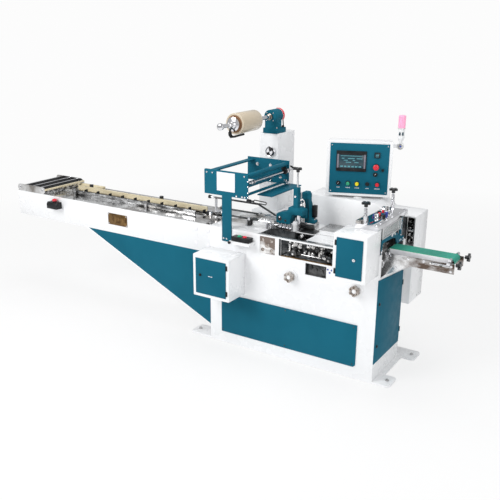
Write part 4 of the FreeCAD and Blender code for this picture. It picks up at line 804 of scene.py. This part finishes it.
# ---------------- windows of the main cabinet
window_left, window_right = -0.06, 0.333
single("window_lip", BRASS, slab, (window_left + 0.002, front - 0.0015, 0.7715),
    (window_right - 0.002, front + 0.012, 0.7775), soft=0.0006)
rng = random.Random(11)
bright, dark = bmesh.new(), bmesh.new()
for k in range(3):
    x = 0.12 * k
    for y in (-0.031, 0.031):
        lathe(bright, (x, y, 0.8805), UP, ((0, 0.018), (0.004, 0.018), (0.006, 0.009), (0.012, 0.009)), 20)
    disc(bright, (x, -0.031, 0.846), UP, 0.0288, 0.003, 28)
for k in range(34):
    r = 0.006 + 0.013 * rng.random()
    at = (-0.042 + 0.362 * (k + rng.random()) / 34, -0.2 + 0.045 * rng.random(),
        0.785 + 0.088 * rng.random())
    length = 0.01 + 0.018 * rng.random()
    lathe(dark if k % 3 == 0 else bright, at, (0.25 * rng.random(), -1, 0.2 * rng.random() - 0.1),
        ((0, r), (length * 0.6, r), (length * 0.7, r * 0.6), (length, r * 0.55)), 18)
for k in range(9):
    x, z = -0.04 + 0.04 * k, 0.775 + 0.05 * rng.random()
    slab(dark if k % 2 else bright, (x, -0.172, z),
        (x + 0.012 + 0.014 * rng.random(), -0.16, z + 0.03 + 0.03 * rng.random()))
for x, z, r in ((0.3, 0.8, 0.026), (0.262, 0.812, 0.021), (0.03, 0.8, 0.024)):
    lathe(dark, (x, -0.205, z), FRONT, ((0, r), (0.01, r), (0.012, r * 0.6), (0.016, r * 0.6)), 26)
    disc(bright, (x, -0.2215, z), FRONT, r * 0.3, 0.004, 14)
for y, z, r in ((-0.15, 0.862, 0.006), (-0.18, 0.792, 0.005)):
    tube(bright, [(-0.05, y, z), (0.325, y, z)], r, 12)
slab(dark, (-0.05, -0.1, 0.772), (0.325, -0.092, 0.86))
piece("window_mechanism", bright, MIRROR_STEEL, soft=0.0008)
piece("window_dark_blocks", dark, DARK_STEEL, soft=0.0008)
# painted shade: a dark strip beside the main window
single("window_edge_shade_strip", SHADOW, slab, (-0.075, front - 0.0012, 0.773),
    (window_left - 0.001, front - 0.0001, 0.893))
single("side_window_plate", STEEL_PAINTED_REFLECTIONS, slab, (-0.24, front + 0.004, 0.76), (-0.1, front + 0.008, 0.896))
bm = bmesh.new()
for x, z, r in ((-0.208, 0.866, 0.013), (-0.136, 0.866, 0.013), (-0.208, 0.792, 0.013),
        (-0.136, 0.792, 0.013), (-0.172, 0.828, 0.02)):
    lathe(bm, (x, front + 0.004, z), FRONT, ((0, r), (0.002, r), (0.003, r * 0.7), (0.001, r * 0.6),
        (0.001, r * 0.3), (0.004, r * 0.25)), 20)
piece("side_window_rosettes", bm, BRONZE_CHROME)
bm = bmesh.new()
slab(bm, (0.13, front + 0.02, 0.672), (0.295, front + 0.024, 0.76))
for x, z, r in ((0.165, 0.728, 0.017), (0.205, 0.712, 0.014), (0.248, 0.706, 0.017), (0.272, 0.732, 0.01)):
    stud(bm, (x, front + 0.02, z), FRONT, r, 0.006, r * 0.5, 18)
piece("low_window_plate", bm, DARK_STEEL, soft=0.0006)
bm = bmesh.new()
for x, z in ((0.302, 0.742), (0.33, 0.741), (0.317, 0.722)):
    stud(bm, (x, front + 0.0005, z), FRONT, 0.0062, 0.002, 0.003, 16, 0.001)
piece("indicator_caps", bm, BLUE)
bm = bmesh.new()
slab(bm, (0.105, -0.2275, deck + 0.0004), (0.334, -0.19, deck + 0.004))
slab(bm, (-0.25, -0.2275, deck + 0.0004), (0.105, -0.2065, deck + 0.003))
piece("deck_strips", bm, STEEL, soft=0.0006)
bm = bmesh.new()
for x in (0.13, 0.31):
    cap_screw(bm, (x, -0.206, deck + 0.004), UP, 0.005, 0.003)
for x in (0.09, 0.24, 0.4):
    for y in (0.11, 0.2, 0.265):
        cap_screw(bm, (x, y, deck + 0.003), UP, 0.005, 0.003)
piece("deck_screws", bm, CHROME)
# hand wheel centres
for name in ("handwheel_left", "handwheel_right"):
    lo, hi = box[name]
    cx, cz = (lo.x + hi.x) / 2, (lo.z + hi.z) / 2
    single(name + "_cap", WHITE, lathe, (cx, lo.y + 0.009, cz), FRONT,
        ((0, 0.016), (0.004, 0.016), (0.007, 0.011), (0.008, 0.005)), 26, body=name)
    bm = bmesh.new()
    for at in arc((cx, lo.y + 0.0006, cz), RIGHT, UP, 0.0265, 30, 330, 5):
        lathe(bm, at, FRONT, ((-0.002, 0.004), (0.0006, 0.004)), 12)
    piece(name + "_studs", bm, CHROME, name)

# ---------------- end seal
br_lo, br_hi = box["seal_bridge"]
bm = bmesh.new()
for y in (-0.25, 0.21):
    spring(bm, (0.555, y, br_hi.z + 0.05), (0.555, y, br_hi.z + 0.098), 0.0105, 0.0016, 6)
    stud(bm, (0.555, y, br_hi.z), UP, 0.019, 0.006, 0.014, 6)
for x, y in ((0.515, -0.262), (0.64, -0.262), (0.515, -0.2), (0.64, -0.2), (0.515, 0.222), (0.64, 0.222),
        (0.64, 0.0), (0.64, -0.1), (0.64, 0.12)):
    cap_screw(bm, (x, y, br_hi.z), UP, 0.007, 0.006)
stud(bm, (0.56, -0.075, br_lo.z + 0.01), UP, 0.016, 0.045, 0.01, 20, 0.003)
stud(bm, (0.575, 0.045, br_lo.z + 0.01), UP, 0.013, 0.04, 0.008, 20, 0.003)
slab(bm, (0.54, -0.035, br_lo.z + 0.005), (0.585, 0.015, br_hi.z + 0.012))
tube(bm, [(0.54, 0.06, br_hi.z + 0.006), (0.59, 0.085, br_hi.z + 0.012)], 0.005, 10)
piece("seal_fittings", bm, CHROME)
bm = bmesh.new()
slab(bm, (0.5, -0.272, br_hi.z + 0.0004), (0.536, -0.15, br_hi.z + 0.018))
slab(bm, (0.5, 0.15, br_hi.z + 0.0004), (0.536, 0.19, br_hi.z + 0.014))
piece("seal_pads", bm, MIRROR_STEEL, soft=0.001)
for name, material, pts in (("seal_blue", BLUE, ((0.538, -0.055, 0.0), (0.59, 0.02, 0.004))),
        ("seal_red", RED, ((0.56, -0.03, 0.006), (0.552, 0.055, 0.002))),
        ("seal_black", BLACK, ((0.545, -0.005, 0.01), (0.6, -0.05, 0.0)))):
    bm = bmesh.new()
    for x, y, z in pts:
        stud(bm, (x, y, br_hi.z + z - 0.006), UP, 0.01, 0.02, 0.006, 16, 0.004)
    piece(name, bm, material)
bm = bmesh.new()
g_lo, g_hi = box["exit_guard"]
for y in (g_lo.y + 0.004, g_hi.y - 0.004):
    tube(bm, [(g_hi.x + 0.0015, y, g_lo.z), (g_hi.x + 0.0015, y, g_hi.z)], 0.0035, 8)
for z in (g_lo.z + 0.003, g_hi.z - 0.003):
    tube(bm, [(g_hi.x + 0.0015, g_lo.y + 0.004, z), (g_hi.x + 0.0015, g_hi.y - 0.004, z)], 0.0035, 8)
piece("guard_frame", bm, LIME)
exit_hi = box["exit_frame"][1]
bm = bmesh.new()
edge = [(exit_hi.x + 0.0005, y, z) for y, z in ((-0.205, deck + 0.1015), (0.0, deck + 0.1015),
    (0.072, deck + 0.0865))]
tube(bm, edge, 0.0035, 8)
tube(bm, [(exit_hi.x + 0.0015, -0.206, deck + 0.004), (exit_hi.x + 0.0015, -0.206, deck + 0.1)], 0.003, 8)
piece("exit_edge_seal", bm, BLACK)
bm = bmesh.new()
half_round = arc((exit_hi.x + 0.003, 0.0, deck + 0.07), (0, 1, 0), (0, 0, 1), 0.03, 20, 160, 10)
tube(bm, half_round, 0.006, 8)
for y in (-0.195, 0.13, 0.15, 0.195):
    cap_screw(bm, (exit_hi.x, y, deck + 0.015), RIGHT, 0.005, 0.004)
for z in (0.05, 0.09, 0.13, 0.16):
    cap_screw(bm, (exit_hi.x, 0.14, deck + z), RIGHT, 0.004, 0.004)
piece("exit_fittings", bm, SHEET)
bm = bmesh.new()
for y, z, r in ((-0.15, 0.88, 0.016), (-0.12, 0.925, 0.012), (-0.165, 0.845, 0.012),
        (-0.105, 0.815, 0.014)):
    lathe(bm, (0.6175, y, z), RIGHT, ((0, r), (0.006, r), (0.008, r * 0.6), (0.014, r * 0.5)), 20)
tube(bm, [(0.626, -0.175, 0.8), (0.626, -0.11, 0.905)], 0.005, 10)
tube(bm, [(0.626, -0.1, 0.78), (0.626, -0.175, 0.86)], 0.005, 10)
piece("exit_gap_parts", bm, CHROME)
# drive parts in the bay
# painted shade: a dark sheet at the back of the drive bay
single("bay_back_shade", SHADOW, slab, (0.62, 0.386, 0.832), (0.686, 0.391, 1.034))
bm = bmesh.new()
for k, z in enumerate((0.86, 0.905, 0.95, 1.00)):
    lathe(bm, (0.652, 0.382, z), FRONT, ((0, 0.024 - 0.003 * k), (0.02, 0.024 - 0.003 * k), (0.024, 0.012),
        (0.06, 0.011), (0.064, 0.006)), 22)
for x in (0.628, 0.678):
    tube(bm, [(x, 0.33, 0.835), (x, 0.33, 1.03)], 0.005, 10)
slab(bm, (0.624, 0.32, 0.93), (0.682, 0.336, 0.946))
piece("bay_drive", bm, MIRROR_STEEL, soft=0.0008)

# ---------------- discharge conveyor
s_lo, s_hi = box["discharge_sides"]
belt_end, belt_z = 1.06, 0.905   # the free roller's axis, and the belt's middle height
bm = bmesh.new()
for y, out_y in ((s_lo.y, -1), (s_hi.y, 1)):
    for x, z in ((0.68, 0.872), (0.8, 0.872), (0.9, 0.872), (0.72, 0.8), (1.075, 0.872), (1.075, 0.838)):
        bolt(bm, (x, y, z), (0, out_y, 0), 0.0055, 0.005)
    for x in (0.965, 1.035):
        cap_screw(bm, (x, y, 0.869), (0, out_y, 0), 0.006, 0.006)
    for x in (0.665, 1.057):
        stud(bm, (x, y, 0.886), (0, out_y, 0), 0.012, 0.006, 0.008, 18, 0.001)
for x in (0.72, 0.86, 1.0):
    tube(bm, [(x, s_lo.y + 0.004, 0.85), (x, s_hi.y - 0.004, 0.85)], 0.008, 12)
for y in (-0.095, 0.062):
    tube(bm, [(belt_end, y, belt_z), (belt_end, y + 0.033, belt_z)], 0.01, 14)
piece("discharge_fittings", bm, CHROME)
bm = bmesh.new()
for y in (-0.0592, 0.0585):
    slab(bm, (0.66, y, belt_z), (belt_end, y + 0.0007, 0.9112))
piece("belt_edges", bm, GREEN)
bm = bmesh.new()
slab(bm, (0.668, -0.056, 0.9035), (1.054, 0.056, 0.9072))
for k in (-1, 1):
    slab(bm, (0.662, 0.0629 * k - 0.0021, 0.866), (1.056, 0.0629 * k + 0.0021, 0.9085))
piece("belt_bed", bm, SHEET)
# painted shade: a dark sheet stands for the shade inside the tension slot
bm = bmesh.new()
slot_left, slot_right, slot_z = 0.949, 1.07, 0.874
slab(bm, (slot_left, s_lo.y - 0.0008, slot_z - 0.007), (slot_right, s_lo.y - 0.0001, slot_z + 0.007))
piece("tension_slot_shade", bm, SHADOW)
bm = bmesh.new()
tube(bm, [(slot_left + 0.004, s_lo.y - 0.004, slot_z), (slot_right - 0.004, s_lo.y - 0.004, slot_z)],
    0.0032, 10)
for k in range(12):
    disc(bm, (slot_left + 0.01 + (slot_right - slot_left - 0.02) * k / 11, s_lo.y - 0.004, slot_z), RIGHT,
        0.0045, 0.0025, 10)
stud(bm, (slot_left - 0.045, s_lo.y, slot_z + 0.006), FRONT, 0.008, 0.004, 0.004, 18, 0.001)
piece("tension_screw", bm, CHROME)

# ---------------- infeed conveyor and end box
t_lo, t_hi = box["infeed_trough"]
rail_start = box["guide_rails"][0].x
bm = bmesh.new()
for k in range(98):
    x = t_lo.x + 0.085 + 0.0195 * k
    for y in (-0.0052, 0.0052):
        slab(bm, (x, y - 0.0012, deck - 0.0045), (x + 0.0165, y + 0.0012, deck + 0.0035))
piece("chain_plates", bm, STEEL)
bm = bmesh.new()
for y in (-0.026, 0.024):
    slab(bm, (t_lo.x + 0.36, y, deck + 0.0032), (t_hi.x - 0.01, y + 0.002, deck + 0.012))
for k in range(6):
    x = rail_start + 0.2 + 0.24 * k
    for y in (-0.115, 0.115):
        cap_screw(bm, (x, y, deck + 0.003), UP, 0.006, 0.003)
        cap_screw(bm, (x, y * 1.85, deck + 0.003), UP, 0.005, 0.003)
piece("infeed_strips", bm, MIRROR_STEEL)
bm = bmesh.new()
for k in range(12):
    x = rail_start + 0.06 + 0.125 * k
    for y in (-0.078, 0.078):
        stud(bm, (x, y, deck + 0.038), UP, 0.0055, 0.003, 0.003, 12, 0.0005)
piece("rail_screws", bm, CHROME)
single("rear_rest_block", CREAM, slab, (t_lo.x + 0.345, t_hi.y - 0.045, deck + 0.0032),
    (t_lo.x + 0.62, t_hi.y - 0.006, deck + 0.022), soft=0.002)
eb_lo, eb_hi = box["end_box"]
bm = bmesh.new()
for x in (eb_lo.x + 0.03, eb_hi.x - 0.034):
    bolt(bm, (x, eb_lo.y, deck + 0.031), FRONT, 0.008, 0.006)
    bolt(bm, (x, eb_hi.y, deck + 0.031), BACK, 0.008, 0.006)
for k in range(3):
    tube(bm, [(eb_lo.x + 0.06 + 0.1 * k, eb_lo.y + 0.006, deck + 0.048),
        (eb_lo.x + 0.06 + 0.1 * k, eb_hi.y - 0.006, deck + 0.048)], 0.004, 10)
piece("end_box_fittings", bm, CHROME)
# the end box's tray floor, drawn near black as painted shade inside the box
single("end_box_tray_shade", SHADOW, slab, (eb_lo.x + 0.02, eb_lo.y + 0.01, deck + 0.0034),
    (eb_hi.x - 0.02, eb_hi.y - 0.01, deck + 0.006))
single("bare_name_plate", BRASS, slab, (-1.669, t_lo.y - 0.0025, 0.754), (-1.466, t_lo.y - 0.0002, 0.848),
    soft=0.0006)
bm = bmesh.new()
for x in (-1.66, -1.475):
    for z in (0.763, 0.839):
        cap_screw(bm, (x, t_lo.y - 0.0025, z), FRONT, 0.004, 0.002)
for x in (-0.785, -0.677):
    for z in (0.853, 0.742):
        lathe(bm, (x, t_lo.y, z), FRONT, ((0, 0.0165), (0.003, 0.0165), (0.005, 0.012), (0.006, 0.004)), 22)
for k in range(5):
    cap_screw(bm, (-2.65 + 0.42 * k, t_lo.y, 0.712), FRONT, 0.004, 0.002)
    cap_screw(bm, (-2.65 + 0.42 * k, t_hi.y, 0.712), BACK, 0.004, 0.002)
piece("trough_caps", bm, SHEET)
bm = bmesh.new()
for x0 in (-2.66, -1.66):
    slab(bm, (x0, t_hi.y, 0.722), (x0 + 0.86, t_hi.y + 0.002, 0.88))
piece("trough_rear_covers", bm, WHITE, soft=0.0006)
bm = bmesh.new()
b_lo, b_hi = box["estop_button"]
cx, cy = (b_lo.x + b_hi.x) / 2, (b_lo.y + b_hi.y) / 2
lathe(bm, (cx, cy, b_hi.z - 0.0005), UP, ((0, 0.018), (0.003, 0.015), (0.005, 0.009), (0.0055, 0.003)), 26)
piece("stop_dome", bm, RED)
single("stop_collar", BLACK, lathe, (cx, cy, box["estop_base"][1].z), UP,
    ((0, 0.018), (0.004, 0.017), (0.005, 0.0125), (0.008, 0.0125)), 22)
bm = bmesh.new()
eb = box["estop_base"]
slab(bm, (eb[0].x - 0.014, eb[1].y - 0.03, eb[0].z - 0.004),
    (eb[1].x + 0.014, eb[1].y - 0.0005, eb[0].z - 0.0005))
slab(bm, (eb[0].x - 0.014, eb[1].y - 0.003, eb[0].z - 0.018),
    (eb[1].x + 0.014, eb[1].y - 0.0005, eb[0].z - 0.004))
piece("stop_bracket", bm, SHEET, soft=0.0008)

# ---------------- start box, doors and panels
sb_lo, sb_hi = box["start_box"]
for name, share, material in (("start_green", 0.36, GREEN), ("start_red", 0.66, RED)):
    single(name, material, lathe, (sb_lo.x + (sb_hi.x - sb_lo.x) * share, sb_lo.y + 0.03, sb_hi.z), UP,
        ((0, 0.0155), (0.003, 0.0155), (0.004, 0.0125), (0.009, 0.0125), (0.01, 0.009)), 22)
k_lo, k_hi = box["start_bracket"]
single("bracket_knob", BLACK, lathe, (k_lo.x + 0.01, k_lo.y - 0.001, (k_lo.z + k_hi.z) / 2), FRONT,
    ((-0.002, 0.009), (0.008, 0.011), (0.012, 0.008)), 18)
single("left_lock", BLACK, lathe, (-0.594, box["left_box_door"][0].y, 0.593), FRONT,
    ((0, 0.01), (0.004, 0.01), (0.005, 0.007), (0.009, 0.006)), 20, body="left_box_door")
bm = bmesh.new()
lo = box["left_box_door"][0]
for x in (-0.516, -0.496):
    slab(bm, (x - 0.007, lo.y - 0.0025, 0.5915), (x + 0.007, lo.y - 0.0001, 0.5965))
piece("left_door_catch", bm, SHEET, "left_box_door", soft=0.0006)
lo = box["right_box_door"][0]
bm = bmesh.new()
stud(bm, (0.58, lo.y, 0.921), FRONT, 0.01, 0.004, 0.006, 20, 0.001)
slab(bm, (0.5785, lo.y - 0.009, 0.913), (0.5815, lo.y - 0.004, 0.929))
piece("right_lock", bm, CHROME, "right_box_door")
lo, hi = box["end_door"]
bm = bmesh.new()
for z in (lo.z + 0.12, lo.z + 0.42):
    lathe(bm, (hi.x, lo.y + 0.035, z), RIGHT, ((0, 0.011), (0.004, 0.011), (0.005, 0.006), (0.008, 0.005)),
        20)
piece("end_locks", bm, BLACK, "end_door")
p_lo, p_hi = box["front_panel"]
bm = bmesh.new()
for x in (p_lo.x + 0.018, (p_lo.x + p_hi.x) / 2, p_hi.x - 0.022):
    for z in (p_lo.z + 0.02, p_hi.z - 0.016):
        cap_screw(bm, (x, p_lo.y, z), FRONT, 0.0045, 0.0025)
piece("panel_corner_screws", bm, DARK_STEEL)
bm = bmesh.new()
for name in ("left_box", "right_box"):
    lo, hi = box[name]
    for x in (lo.x + 0.012, hi.x - 0.012):
        for z in (lo.z + 0.012, hi.z - 0.012):
            cap_screw(bm, (x, lo.y, z), FRONT, 0.0035, 0.002)
piece("box_screws", bm, SHEET)
# anchor bolts in the toes, and the plain back
toe_top = box["base_frame"][1].z
bm = bmesh.new()
for x in (-0.811, 0.739):
    for y in (-0.154, 0.318):
        disc(bm, (x, y, toe_top), UP, 0.013, 0.003, 20)
        stud(bm, (x, y, toe_top + 0.003), UP, 0.01, 0.008, 0.008, 6, 0.001)
piece("anchor_nuts", bm, STEEL)
bm = bmesh.new()
rear_y = 0.534   # the rear box's back
rear_plates = ((-0.1, 0.28, 0.44, 1.07), (0.3, 0.66, 0.44, 1.02))
for x0, x1, z0, z1 in rear_plates:
    slab(bm, (x0, rear_y, z0), (x1, rear_y + 0.0025, z1))
piece("rear_covers", bm, WHITE, soft=0.0008)
bm = bmesh.new()
for x0, x1, z0, z1 in rear_plates:
    for x in (x0 + 0.015, x1 - 0.015):
        for z in (z0 + 0.015, z1 - 0.015):
            cap_screw(bm, (x, rear_y + 0.0025, z), BACK, 0.0045, 0.0025)
    for k in range(9):
        tube(bm, [(x0 + 0.08, rear_y + 0.004, z0 + 0.08 + 0.014 * k),
            (x0 + 0.22, rear_y + 0.004, z0 + 0.08 + 0.014 * k)], 0.0028, 6)
piece("rear_louvres", bm, SHEET)
single("cabinet_back_cover", TEAL, slab, (-0.55, cab_hi.y, 0.06), (0.55, cab_hi.y + 0.0025, 0.39),
    soft=0.0008)
bm = bmesh.new()
for x in (-0.53, 0.0, 0.53):
    for z in (0.08, 0.37):
        cap_screw(bm, (x, cab_hi.y + 0.0025, z), BACK, 0.0045, 0.0025)
piece("back_cover_screws", bm, CHROME)

# ---------------- camera, light, stage
def aim(item, at, direction):
    """Puts a camera or light in its place and points it."""
    item.location = at
    item.rotation_mode = "QUATERNION"
    item.rotation_quaternion = direction.to_track_quat("-Z", "Y")


azimuth, elevation = math.radians(33.49), math.radians(17.85)
away = Vector((math.sin(azimuth) * math.cos(elevation), -math.cos(azimuth) * math.cos(elevation),
    math.sin(elevation)))
cam_data = bpy.data.cameras.new("camera")
cam = new_object("camera", cam_data)
aim(cam, (2.216, -4.253, 2.3), -away)
cam_data.sensor_width = 36
cam_data.lens = 50.55
cam_data.shift_x = 0.0318
bpy.context.scene.camera = cam


def area(name, at, target, size, power):
    """A square light, with its size in metres and its power in watts."""
    data = bpy.data.lights.new(name, "AREA")
    data.energy = power
    data.size = size
    aim(new_object(name, data), at, Vector(target) - Vector(at))


area("key", (-3.2, -5.2, 4.6), (-0.3, 0, 0.8), 3.2, 250)
area("fill", (4.5, -3.0, 2.6), (0.2, 0, 0.8), 3.5, 70)
area("top", (0.0, 0.5, 5.5), (0.0, 0, 0.8), 4.0, 110)
world = bpy.data.worlds.new("studio")
bpy.context.scene.world = world
world.use_nodes = True
wt = world.node_tree
sky = wt.nodes["Background"]
feed(wt, sky, Color=(0.86, 0.87, 0.88, 1), Strength=0.62)
clean = add(wt, "Background", Color=(*grey(0.975), 1), Strength=1.0)
path = add(wt, "LightPath").outputs
seen = maths(wt, "MAXIMUM", path["Is Camera Ray"], path["Is Transmission Ray"])
blend(wt, seen, sky.outputs["Background"], clean.outputs["Background"], "World Output")
bpy.context.scene.view_settings.view_transform = "Standard"

floor_mesh = bpy.data.meshes.new("floor")
span = 40
floor_mesh.from_pydata([(-span, -span, 0), (span, -span, 0), (span, span, 0), (-span, span, 0)], [],
    [(0, 1, 2, 3)])
floor = new_object("floor", floor_mesh)
floor.location.z = -0.0015
pale, ft, shader = new_tree("pale_floor")
tone = ramp(ft, noise(ft, 0.6, 2), 0.3, 0.7)
feed(ft, shader, Base_Color=mix_colour(ft, tone, grey(0.88), grey(0.9)), Roughness=0.8)
glow = add(ft, "Emission", Color=(*grey(0.975), 1))
# the floor meets the plain background by glowing for the camera, more so farther out
fade = ramp(ft, reach(ft, object_point(ft)), 2.2, 6.0, 0.72, 1.0)
share = maths(ft, "MULTIPLY", add(ft, "LightPath").outputs["Is Camera Ray"], fade)
blend(ft, share, shader.outputs["BSDF"], glow.outputs["Emission"], "Material Output")
floor_mesh.materials.append(pale)
floor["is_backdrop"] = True

low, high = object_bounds()
